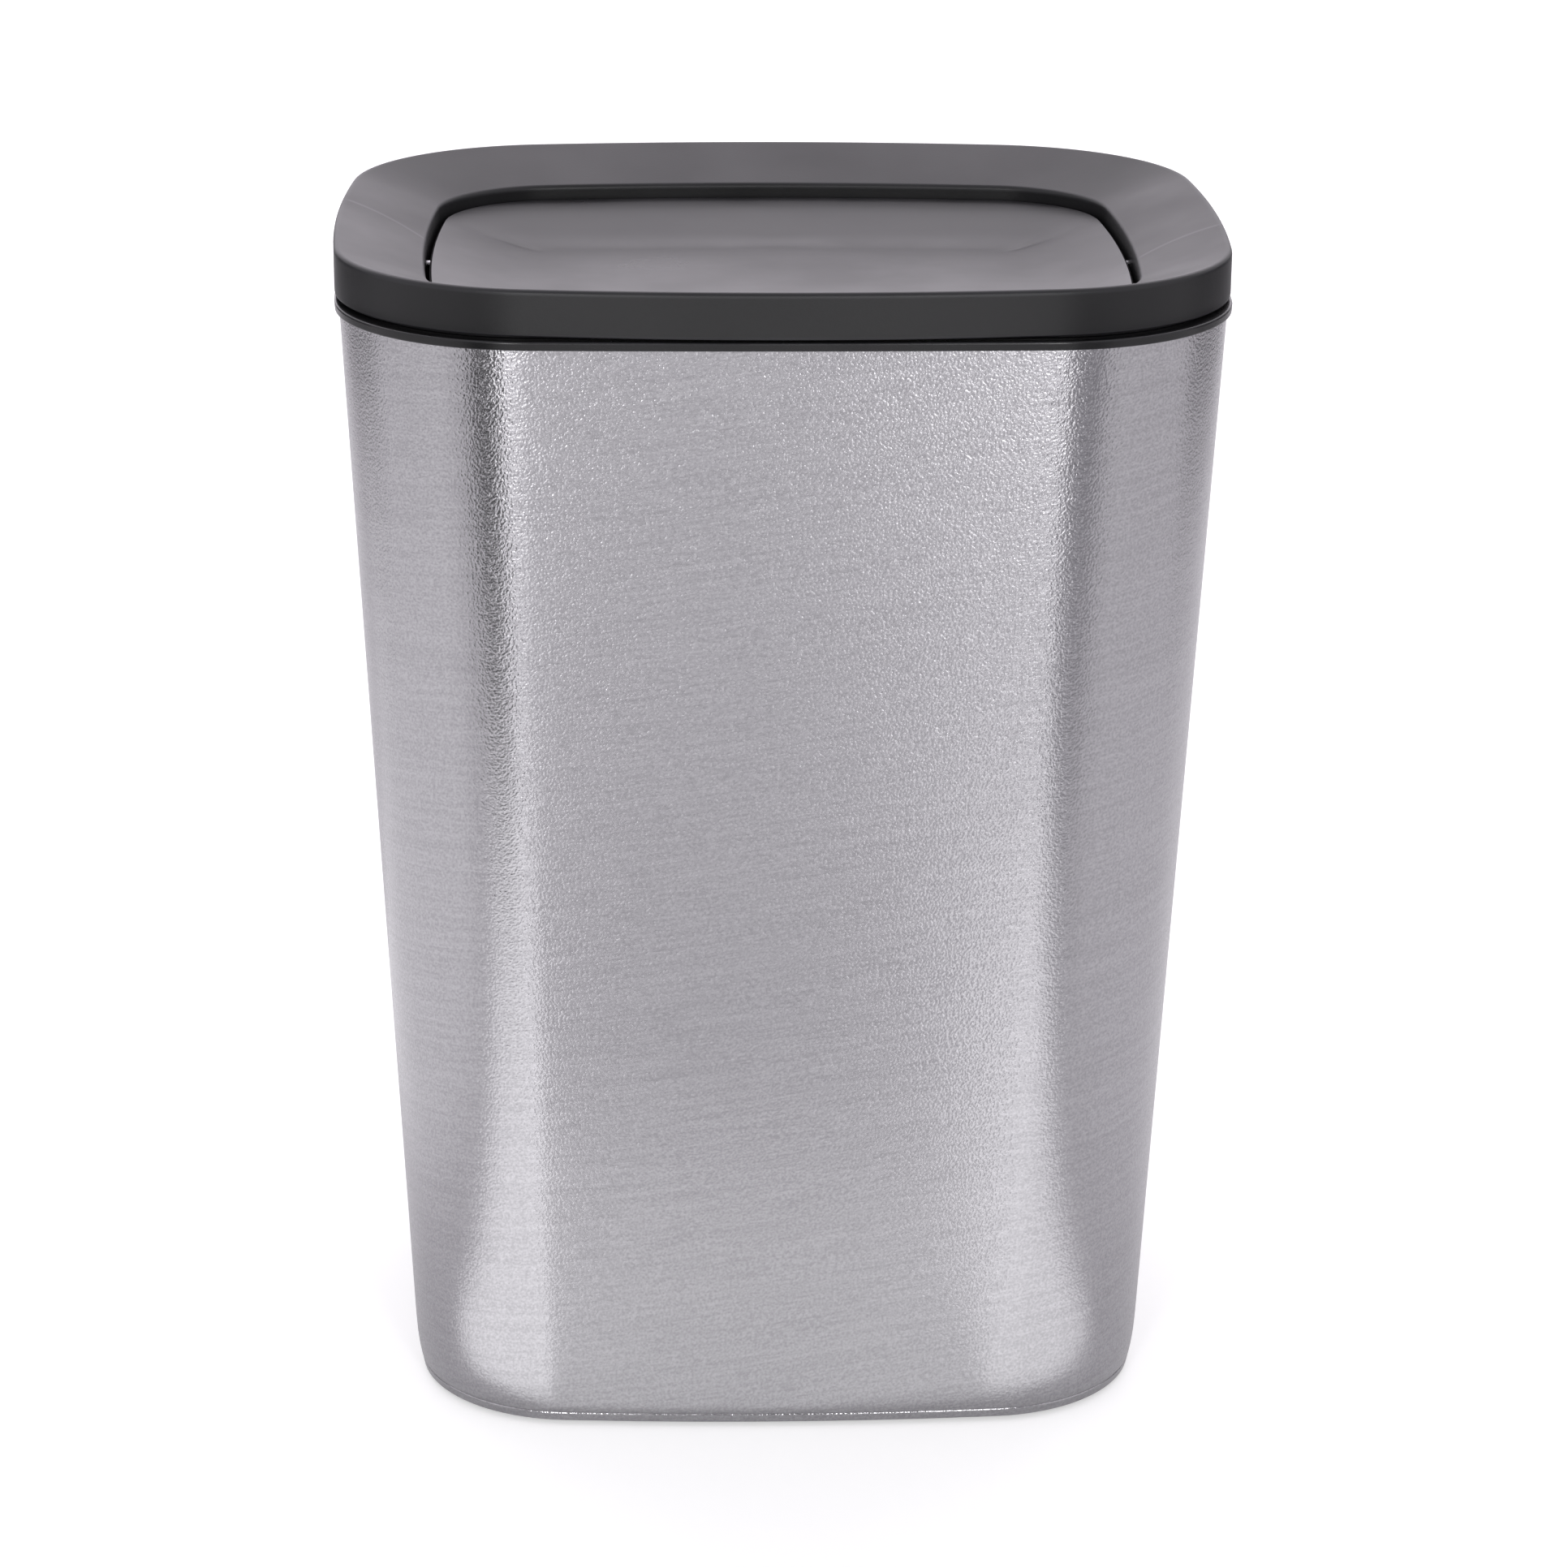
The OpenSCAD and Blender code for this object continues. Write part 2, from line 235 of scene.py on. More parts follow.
@dataclass(frozen=True)
class Corner:
    """One ring of a section, with the radius that its edge is rounded to."""

    ring: Ring
    radius: float = 0.0


@dataclass
class Section:
    """A section that is swept round an outline, in millimetres."""

    corners: list[Corner]
    closed: bool = True
    steps: int = 4
    # How far the guard rings stand off a round, and what share of a side they and it may take
    guard: float = 0.35
    guard_share: float = 0.07
    round_share: float = 0.42
    # Keeps a nearly straight corner's angle off 0 and 180 degrees
    straight: float = 0.9999

    def rounded(self) -> tuple[list[Ring], list[float]]:
        """Rounds each corner, and sets a ring close beside it so that flats stay flat.

        Returns:
            The rings in order, and how much each one lies on a worn outer edge.
        """
        rings: list[Ring] = []
        wear: list[float] = []
        count = len(self.corners)
        winding = self._winding()
        for i, corner in enumerate(self.corners):
            at_end = not self.closed and i in (0, count - 1)
            if corner.radius <= 0 or at_end:
                rings.append(corner.ring)
                wear.append(0.0)
                continue
            before = self.corners[i - 1].ring
            after = self.corners[(i + 1) % count].ring
            arc, outer = self._arc(before, corner, after, winding)
            rings += arc
            wear += [0.0, *([1.0 if outer else 0.0] * (len(arc) - 2)), 0.0]
        return rings, wear

    def _winding(self) -> float:
        """Finds the sign of the section's area at its first column, in (radius, z).

        Returns:
            1 or -1.
        """
        flat = [(float(np.hypot(c.ring[0][0], c.ring[0][1])), float(c.ring[0][2])) for c in self.corners]
        pairs = zip(flat, flat[1:] + flat[:1])
        return math.copysign(1.0, sum(a[0] * b[1] - b[0] * a[1] for a, b in pairs))

    def _arc(self, before: Ring, corner: Corner, after: Ring, winding: float) -> tuple[list[Ring], bool]:
        """Rounds one corner in every column of the sweep.

        Args:
            before: The ring before the corner.
            corner: The corner's ring and radius.
            after: The ring after it.
            winding: The section's winding, 1 or -1.

        Returns:
            The rings of the round with a guard ring at each end, and whether it is an outer edge.
        """
        back, ahead = before - corner.ring, after - corner.ring
        back_len = np.linalg.norm(back, axis=1, keepdims=True)
        ahead_len = np.linalg.norm(ahead, axis=1, keepdims=True)
        back, ahead = back / back_len, ahead / ahead_len
        angle = np.arccos(np.clip((back * ahead).sum(1, keepdims=True), -self.straight, self.straight))
        reach = corner.radius / np.tan(angle / 2)
        reach = np.minimum(reach, self.round_share * np.minimum(back_len, ahead_len))
        radius = reach * np.tan(angle / 2)
        middle = back + ahead
        middle /= np.linalg.norm(middle, axis=1, keepdims=True)
        centre = corner.ring + middle * radius / np.sin(angle / 2)
        first = (corner.ring + back * reach - centre) / radius
        last = (corner.ring + ahead * reach - centre) / radius
        sweep = math.pi - angle
        arc = []
        for i in range(self.steps + 1):
            share = i / self.steps
            spoke = (np.sin((1 - share) * sweep) * first + np.sin(share * sweep) * last) / np.sin(sweep)
            arc.append(centre + radius * spoke)
        guard_back = np.minimum(self.guard, self.guard_share * back_len)
        guard_ahead = np.minimum(self.guard, self.guard_share * ahead_len)
        arc.insert(0, corner.ring + back * (reach + guard_back))
        arc.append(corner.ring + ahead * (reach + guard_ahead))
        out = np.array([math.copysign(1, corner.ring[0][0]), 0, 0])
        turn = np.cross(back[0], ahead[0]) @ np.cross(out, (0, 0, 1))
        return arc, bool(turn * winding < 0)

    def piece(self, name: str) -> Piece:
        """Makes the swept mesh, with its worn edges kept as a point attribute.

        Args:
            name: The piece's name.

        Returns:
            The new object, in metres.
        """
        rings, wear = self.rounded()
        made = swept(name, rings, self.closed)
        edge = made.data.attributes.new(Pattern.EDGE.value, "FLOAT", "POINT")
        edge.data.foreach_set("value", np.repeat(np.array(wear, np.float32), len(rings[0])))
        return made


def mesh_object(name: str, points: Sequence[Sequence[float]], faces: Sequence[Sequence[int]]) -> Piece:
    """Makes a mesh object with its faces turned outwards and its soft edges smooth.

    Args:
        name: The object's name.
        points: Its points in metres.
        faces: Its faces as point numbers.

    Returns:
        The new object, linked to the scene.
    """
    mesh = bpy.data.meshes.new(name)
    mesh.from_pydata(points, [], faces)
    finish_mesh(mesh)
    made = bpy.data.objects.new(name, mesh)
    bpy.context.scene.collection.objects.link(made)
    return made


def swept(name: str, rings: Sequence[Sequence[Sequence[float]]], closed: bool) -> Piece:
    """Skins rings of points in millimetres, and caps both ends where the sweep is open.

    Args:
        name: The object's name.
        rings: Closed rings with the same number of points each.
        closed: Whether the last ring joins the first.

    Returns:
        The new object.
    """
    around, count = len(rings[0]), len(rings)
    faces: list[tuple[int, ...]] = []
    for j in range(count if closed else count - 1):
        low, high = j * around, (j + 1) % count * around
        for i in range(around):
            n = (i + 1) % around
            faces.append((low + i, low + n, high + n, high + i))
    if not closed:
        faces += [tuple(range(around)), tuple((count - 1) * around + i for i in range(around))]
    points = [tuple(float(c) * MM for c in point) for ring in rings for point in ring]
    return mesh_object(name, points, faces)


def finish_mesh(mesh: bpy.types.Mesh) -> None:
    """Turns a mesh's faces outwards and shades it smooth up to the sharp angle.

    Args:
        mesh: The mesh, which is changed in place.
    """
    work = bmesh.new()
    work.from_mesh(mesh)
    bmesh.ops.recalc_face_normals(work, faces=work.faces)
    work.to_mesh(mesh)
    work.free()
    mesh.shade_smooth()
    mesh.set_sharp_from_angle(angle=math.radians(SHARP_ANGLE))


def joined(name: str, parts: Sequence[Piece]) -> Piece:
    """Joins several meshes into one piece.

    Args:
        name: The name of the joined piece.
        parts: The objects to join, which are used up.

    Returns:
        The joined object.
    """
    work = bmesh.new()
    for part in parts:
        work.from_mesh(part.data)
    work.to_mesh(parts[0].data)
    work.free()
    for part in parts[1:]:
        bpy.data.meshes.remove(part.data)
    parts[0].name = parts[0].data.name = name
    return parts[0]


def turned(name: str, profile: Sequence[tuple[float, float]], place: Matrix, around: int = 48) -> Piece:
    """Turns a profile about its own Z axis, as on a lathe.

    Args:
        name: The piece's name.
        profile: Pairs of radius and height in millimetres; a radius of 0 closes the end.
        place: Where the turned piece goes, in millimetres.
        around: The number of steps round the axis.

    Returns:
        The new object.
    """
    points: list[Vector] = []
    rows: list[list[int]] = []
    for radius, height in profile:
        if radius == 0:
            rows.append([len(points)] * around)
            points.append(place @ Vector((0, 0, height)))
            continue
        rows.append(list(range(len(points), len(points) + around)))
        for i in range(around):
            turn = 2 * math.pi * i / around
            points.append(place @ Vector((radius * math.cos(turn), radius * math.sin(turn), height)))
    faces = []
    for low, high in zip(rows, rows[1:]):
        for i in range(around):
            n = (i + 1) % around
            face = list(dict.fromkeys((low[i], low[n], high[n], high[i])))
            if len(face) > 2:
                faces.append(face)
    return mesh_object(name, [p * MM for p in points], faces)


def moulded_block(
    name: str, low: Sequence[float], high: Sequence[float], draft: float, radius: float
) -> Piece:
    """Makes a moulded rib or block: it narrows downwards by its draft, with rounded edges.

    Args:
        name: The piece's name.
        low: Its lowest corner in millimetres.
        high: Its highest corner in millimetres.
        draft: How far each side leans in at the bottom.
        radius: The radius of its edges.

    Returns:
        The new object.
    """
    (x0, y0, z0), (x1, y1, z1) = low, high
    points = []
    for z, lean in ((z0, draft), (z1, 0.0)):
        left, right, near, far = x0 + lean, x1 - lean, y0 + lean, y1 - lean
        around = ((left, near), (right, near), (right, far), (left, far))
        points += [(x * MM, y * MM, z * MM) for x, y in around]
    faces = [(0, 3, 2, 1), (4, 5, 6, 7), (0, 1, 5, 4), (1, 2, 6, 5), (2, 3, 7, 6), (3, 0, 4, 7)]
    made = mesh_object(name, points, faces)
    work = bmesh.new()
    work.from_mesh(made.data)
    edges = list(work.edges)
    bmesh.ops.bevel(work, geom=edges, offset=radius * MM, segments=3, profile=0.5, affect="EDGES")
    work.to_mesh(made.data)
    work.free()
    finish_mesh(made.data)
    return made


def cut(target: Piece, cutters: Sequence[Piece]) -> None:
    """Cuts cutters out of a mesh and throws the cutters away.

    Args:
        target: The object that is cut.
        cutters: The closed meshes to take away from it.
    """
    for cutter in cutters:
        change = target.modifiers.new("bore", "BOOLEAN")
        change.operation = "DIFFERENCE"
        change.solver = "EXACT"
        change.object = cutter
    evaluated = target.evaluated_get(bpy.context.evaluated_depsgraph_get())
    made = bpy.data.meshes.new_from_object(evaluated)
    target.modifiers.clear()
    old = target.data
    target.data = made
    made.name = target.name
    bpy.data.meshes.remove(old)
    for cutter in cutters:
        bpy.data.meshes.remove(cutter.data)


# The bin


@dataclass(frozen=True)
class BinSizes:
    """The driving sizes and heights of the bin, in millimetres, as on the part's drawing."""

    top: Outline = Outline(93.5, 80, 0.7, 1, 41)
    foot: Outline = Outline(81.5, 71.5, 1.6, 1, 35)
    lid: Outline = Outline(95, 81.5, 2.7, 1.4, 45.5)
    hem_z: float = 1.0
    body_h: float = 242.5
    steel_t: float = 0.6
    collar_z: float = 245.3
    ledge_z: float = 236.0
    lip_z: float = 243.5
    steel_top_z: float = 244.3
    band_z: float = 245.9
    lid_z: float = 255.5
    ring_drop: float = 6.3
    ring_w: float = 19.0
    edge_r: float = 0.9
    crest_lift: float = 0.053
    flap_sink: float = 2.9
    flap_gap: float = 1.0
    pin_drop: float = 2.4
    pin_r: float = 0.8
    leg_in: float = 3.55
    plug_out: float = 3.85

    @property
    def ring_z(self) -> float:
        """Height of the lid ring's inner edge."""
        return self.lid_z - self.ring_drop

    @property
    def flap_z(self) -> float:
        """Height of the flap's edge."""
        return self.ring_z - self.flap_sink

    @property
    def pin_z(self) -> float:
        """Height of the flap's pivot."""
        return self.flap_z - self.pin_drop

    def body_ring(self, inset: float, z: float) -> Ring:
        """Lays out the tapered body's outline at a height."""
        return self.foot.mixed(self.top, (z - self.hem_z) / self.body_h).ring(inset, z)

    def body_corners(self, rows: Sequence[tuple[float, float, float]]) -> list[Corner]:
        """Returns a section's corners on the body, from rows of inset, height and radius."""
        return [Corner(self.body_ring(inset, z), radius) for inset, z, radius in rows]

    def ring_top(self, inset: float) -> float:
        """Height of the lid ring's sloping top at an inset."""
        return self.lid_z - self.ring_drop * (inset - self.edge_r) / (self.ring_w - self.edge_r)


def dress(piece: Piece, body: Body, slot: Slot, finish: "Finish", *nodes: str) -> None:
    """Gives a piece its body and its finish.

    Args:
        piece: The piece.
        body: The body that it moves with.
        slot: The record's material slot; not used.
        finish: What its surface is.
        *nodes: The CAD nodes that it stands for.
    """
    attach(piece, body.value)
    if nodes:
        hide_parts(*nodes)
    piece.data.materials.clear()
    piece.data.materials.append(finish.material())
    log.info("%s: %d faces, on %s", piece.name, len(piece.data.polygons), body.value)


@dataclass
class SteelBody:
    """The tapered sleeve of brushed sheet: curled in at the foot, creased and hemmed under."""

    sizes: BinSizes
    curl_h: float = 14.0
    curl_in: float = 1.2
    hem_w: float = 4.0
    crease_h: float = 2.2
    sheet_r: float = 0.22
    # The little groove of the crease, from the top: inset past the curl, height above the crease, round
    crease_rows: tuple[tuple[float, float, float], ...] = (
        (0, 0.35, 0),
        (0.16, 0.12, 0.08),
        (0.03, -0.1, 0.1),
    )
    # Where the sheet turns under: inset past the curl, height above the hem's underside, round
    turn_rows: tuple[tuple[float, float, float], ...] = ((0.3, 0.4, 0.3), (1.0, 0, 0.4))
    # The same inside the sheet, whose heights are the hem's upper side and the crease
    inner_turn: tuple[float, float] = (1.6, 0.4)
    inner_crease: tuple[float, float] = (0.8, 0.3)
    # Shares of the curl's height, closer together where it bends more
    curl_shares: tuple[float, ...] = (1, 0.8, 0.62, 0.46, 0.32, 0.22)
    levels: int = 10
    # The weld bead's section, in half widths across and millimetres out of the sheet
    seam_half_w: float = 0.45
    seam_rows: tuple[tuple[float, float], ...] = (
        (-1, -0.1),
        (-0.7, 0.049),
        (0, 0.07),
        (0.7, 0.049),
        (1, -0.1),
        (0, -0.3),
    )
    seam_end: float = 0.6
    seam_steps: int = 24

    def curl(self, z: float) -> float:
        """How far the sheet has curled in at a height."""
        above = (z - self.sizes.hem_z) / self.curl_h
        return 0.0 if above >= 1 else self.curl_in * (1 - above) ** 3

    def sleeve(self) -> Piece:
        """Sweeps the sheet: down the outside, under at the hem and up the inside.

        Returns:
            The sheet as one piece.
        """
        s = self.sizes
        start = s.hem_z + self.curl_h
        heights = [mix(s.steel_top_z, start, i / self.levels) for i in range(1, self.levels)]
        heights += [s.hem_z + self.curl_h * share for share in self.curl_shares]
        crease_z = s.hem_z + self.crease_h
        crease = self.curl(crease_z)
        under = s.hem_z + s.steel_t
        hem_in = self.curl_in + s.steel_t + self.hem_w
        section = [(0, s.steel_top_z, self.sheet_r), *((self.curl(z), z, 0) for z in heights)]
        for rows, level in ((self.crease_rows, crease_z), (self.turn_rows, s.hem_z)):
            section += [(crease + inset, level + rise, radius) for inset, rise, radius in rows]
        section += [
            (hem_in, s.hem_z, self.sheet_r),
            (hem_in, under, self.sheet_r),
            (crease + self.inner_turn[0], under, self.inner_turn[1]),
            (crease + self.inner_crease[0], crease_z, self.inner_crease[1]),
        ]
        section += [(self.curl(z) + s.steel_t, z, 0) for z in reversed(heights)]
        section.append((s.steel_t, s.steel_top_z, self.sheet_r))
        return Section(s.body_corners(section)).piece("steel_sleeve_sheet")

    def seam(self) -> Piece:
        """Lays the flattened weld bead down the middle of the back.

        Returns:
            The bead, which stands 0.07 mm out of the sheet.
        """
        s = self.sizes
        foot_z = s.hem_z + self.crease_h + self.seam_end
        rings = []
        for i in range(self.seam_steps + 1):
            z = mix(s.lip_z, foot_z, i / self.seam_steps)
            back = s.foot.mixed(s.top, (z - s.hem_z) / s.body_h).half_d - self.curl(z)
            rings.append([(across * self.seam_half_w, back + out, z) for across, out in self.seam_rows])
        return swept("steel_weld_seam", rings, closed=False)

    def build(self) -> None:
        """Makes and dresses the sleeve and its seam."""
        dress(self.sleeve(), Body.SHELL, Slot.STEEL, BrushedStainless(), "steel_sleeve")
        dress(self.seam(), Body.SHELL, Slot.STEEL, WeldedStainless())


@dataclass
class RimCollar:
    """The plastic rim pressed over the steel's top edge, with the ledge that carries the bucket."""

    sizes: BinSizes
    lip_proud: float = 0.9
    slot_gap: float = 0.15
    leg_out: float = 0.75
    ledge_w: float = 2.6
    ledge_t: float = 1.5
    edge: float = 0.35
    small: float = 0.2

    def build(self) -> None:
        """Makes and dresses the collar."""
        s = self.sizes
        ledge_in = s.leg_in + self.ledge_w
        under = s.ledge_z - self.ledge_t
        section = [
            (-self.lip_proud, s.lip_z, self.small),
            (-self.slot_gap, s.lip_z, self.small),
            (-self.slot_gap, s.steel_top_z, 0),
            (self.leg_out, s.steel_top_z, 0),
            (self.leg_out, under, self.small),
            (ledge_in, under, self.edge),
            (ledge_in, s.ledge_z, self.edge),
            (s.leg_in, s.ledge_z, self.edge),
            (s.leg_in, s.collar_z, self.edge),
            (-self.lip_proud, s.collar_z, self.edge),
        ]
        collar = Section(s.body_corners(section)).piece("rim_collar_moulding")
        dress(collar, Body.SHELL, Slot.COLLAR, SatinPolypropylene.collar(), "rim_collar")


@dataclass
class InnerBucket:
    """The lift-out bucket: a plain draft-walled moulding that hangs from its lip."""

    sizes: BinSizes
    bottom_z: float = 8.0
    out: float = 6.45
    wall: float = 1.5
    floor: float = 1.8
    bend_r: float = 1.8
    lip_t: float = 1.5
    edge: float = 0.5
    small: float = 0.3
    pad_inset: float = 18.0
    pad_rise: float = 0.5
    pad_slope: float = 1.0
    pad_in: float = 4.0
    inner_r: float = 2.88

    def build(self) -> None:
        """Makes and dresses the bucket."""
        s = self.sizes
        inner = self.out + self.wall
        lip_z = s.ledge_z + self.lip_t
        inner_z = self.bottom_z + self.floor
        pad = self.out + self.pad_inset
        inner_pad = inner + self.pad_inset
        section = [
            (pad, self.bottom_z + self.pad_rise, 0),
            (pad - self.pad_slope, self.bottom_z, self.small),
            (self.out, self.bottom_z, self.bend_r),
            (self.out, s.ledge_z, self.small),
            (s.plug_out, s.ledge_z, self.edge),
            (s.plug_out, lip_z, self.edge),
            (inner, lip_z, self.edge),
            (inner, inner_z, self.inner_r),
            (inner_pad - self.pad_slope, inner_z, self.small),
            (inner_pad, inner_z + self.pad_rise, self.small),
            (inner_pad + self.pad_in, inner_z + self.pad_rise, 0),
        ]
        bucket = Section(s.body_corners(section), closed=False, steps=5).piece("inner_bucket_moulding")
        dress(bucket, Body.BUCKET, Slot.BUCKET, GrainedPolypropylene(), "inner_bucket")


@dataclass
class BasePan:
    """The moulded pan that closes the foot of the sleeve and holds the rubber feet."""

    sizes: BinSizes
    out: float = 2.4
    wall: float = 1.6
    floor: float = 2.0
    height: float = 12.4
    bottom_z: float = 1.6
    edge: float = 0.9
    rim_r: float = 0.5
    small: float = 0.3
    panel_inset: float = 14.0
    panel_rise: float = 0.6
    panel_slope: float = 1.0
    panel_in: float = 3.0
    floor_run: float = 2.7

    def build(self) -> None:
        """Makes and dresses the pan."""
        s = self.sizes
        inner = self.out + self.wall
        top = self.bottom_z + self.height
        inner_z = self.bottom_z + self.floor
        section = [
            (self.panel_inset + self.panel_in, self.bottom_z + self.panel_rise, 0),
            (self.panel_inset, self.bottom_z + self.panel_rise, self.small),
            (self.panel_inset - self.panel_slope, self.bottom_z, self.small),
            (self.out, self.bottom_z, self.edge),
            (self.out, top, self.rim_r),
            (inner, top, self.rim_r),
            (inner, inner_z, self.edge),
            (inner + self.floor_run, inner_z, 0),
        ]
        pan = Section(s.body_corners(section), closed=False).piece("base_pan_moulding")
        dress(pan, Body.SHELL, Slot.BASE, MattPolypropylene(), "base_pan")


@dataclass
class LidFrame:
    """The lid: band, sloping ring, wall round the flap, plug, and the two bearing bosses."""

    sizes: BinSizes
    band_soft: float = 0.4
    shoulder_out: float = 2.95
    plug_depth: float = 6.3
    plug_t: float = 1.5
    ring_t: float = 2.0
    wall_t: float = 1.8
    wall_h: float = 10.9
    small: float = 0.3
    tuck_r: float = 0.2
    root_r: float = 0.6
    inner_edge_r: float = 1.125
    boss_r: float = 3.0
    bore_r: float = 0.85
    bore_end: float = 4.3
    bore_start: float = -1.0
    boss_start: float = 0.9
    boss_end: float = 6.2
    boss_round: tuple[tuple[float, float], ...] = ((0.0, -0.5), (-0.15, -0.15), (-0.5, 0.0))
    gusset_t: float = 1.6
    gusset_in: float = 5.8
    gusset_draft: float = 0.1
    weld: float = 0.3

    def ring(self) -> Piece:
        """Sweeps the lid's whole section, from the band over the ring to the wall and the plug.

        Returns:
            The ring, before its bores are cut.
        """
        s = self.sizes
        lid, body = s.lid.ring, s.body_ring
        wall_out = s.ring_w - self.wall_t
        wall_foot = s.ring_z - self.wall_h
        overhang = s.lid.half_w - s.top.half_w
        plug_in = s.plug_out + self.plug_t
        plug_foot = s.collar_z - self.plug_depth
        corners = [
            Corner(lid(0, s.band_z), self.band_soft),
            Corner(body(self.shoulder_out, s.band_z), 0),
            Corner(body(self.shoulder_out, s.collar_z), self.tuck_r),
            Corner(body(s.plug_out, s.collar_z), self.tuck_r),
            Corner(body(s.plug_out, plug_foot), self.small),
            Corner(body(plug_in, plug_foot), self.small),
            Corner(body(plug_in, s.ring_top(plug_in + overhang) - self.ring_t), self.root_r),
            Corner(lid(wall_out, s.ring_top(wall_out) - self.ring_t), self.root_r),
            Corner(lid(wall_out, wall_foot), self.small),
            Corner(lid(s.ring_w, wall_foot), self.small),
            Corner(lid(s.ring_w, s.ring_z), self.inner_edge_r),
            Corner(lid(0, s.ring_top(0) + s.crest_lift), s.edge_r),
        ]
        return Section(corners, steps=6).piece("lid_frame_moulding")

    def placed(self, side: int) -> Matrix:
        """Turns a lathe's Z axis outwards along X at a pivot's wall.

        Args:
            side: -1 for the left pivot, 1 for the right one.

        Returns:
            The placing, in millimetres.
        """
        wall_x = self.sizes.lid.half_w - self.sizes.ring_w
        wall = Matrix.Translation((side * wall_x, 0, self.sizes.pin_z))
        return wall @ Matrix.Rotation(side * math.pi / 2, 4, "Y")

    def bore(self, side: int) -> Piece:
        """Makes the cutter for one pivot bore.

        Args:
            side: -1 for the left pivot, 1 for the right one.

        Returns:
            The cutter.
        """
        ends = (self.bore_start, self.bore_end)
        profile = [(0, ends[0]), (self.bore_r, ends[0]), (self.bore_r, ends[1]), (0, ends[1])]
        return turned("bore", profile, self.placed(side))

    def boss(self, side: int) -> Piece:
        """Makes one bearing boss: a tube with a rounded end and its blind bore.

        Args:
            side: -1 for the left pivot, 1 for the right one.

        Returns:
            The boss.
        """
        profile = [(self.bore_r, self.boss_start), (self.boss_r, self.boss_start)]
        profile += [(self.boss_r + out, self.boss_end + along) for out, along in self.boss_round]
        profile += [(0, self.boss_end), (0, self.bore_end), (self.bore_r, self.bore_end), profile[0]]
        return turned(f"boss_{side}", profile, self.placed(side))

    def gusset(self, side: int) -> Piece:
        """Makes the web that ties one boss to the plug.

        Args:
            side: -1 for the left pivot, 1 for the right one.

        Returns:
            The gusset.
        """
        s = self.sizes
        inner = s.lid.half_w - s.ring_w + self.gusset_in
        outer = s.top.half_w - s.plug_out - self.plug_t + self.weld
        xs = sorted((side * inner, side * outer))
        half = self.gusset_t / 2
        low = (xs[0], -half, s.pin_z - self.boss_r / 2)
        high = (xs[1], half, s.pin_z + self.boss_r / 2)
        return moulded_block(f"gusset_{side}", low, high, self.gusset_draft, self.small)

    def build(self) -> None:
        """Makes and dresses the lid frame and its bosses."""
        ring = self.ring()
        cut(ring, [self.bore(side) for side in (-1, 1)])
        finish_mesh(ring.data)
        bosses = joined("lid_pivot_bosses", [f(side) for side in (-1, 1) for f in (self.boss, self.gusset)])
        finish = SatinPolypropylene.lid()
        dress(ring, Body.LID, Slot.LID, finish, "lid_frame")
        dress(bosses, Body.LID, Slot.LID, finish)


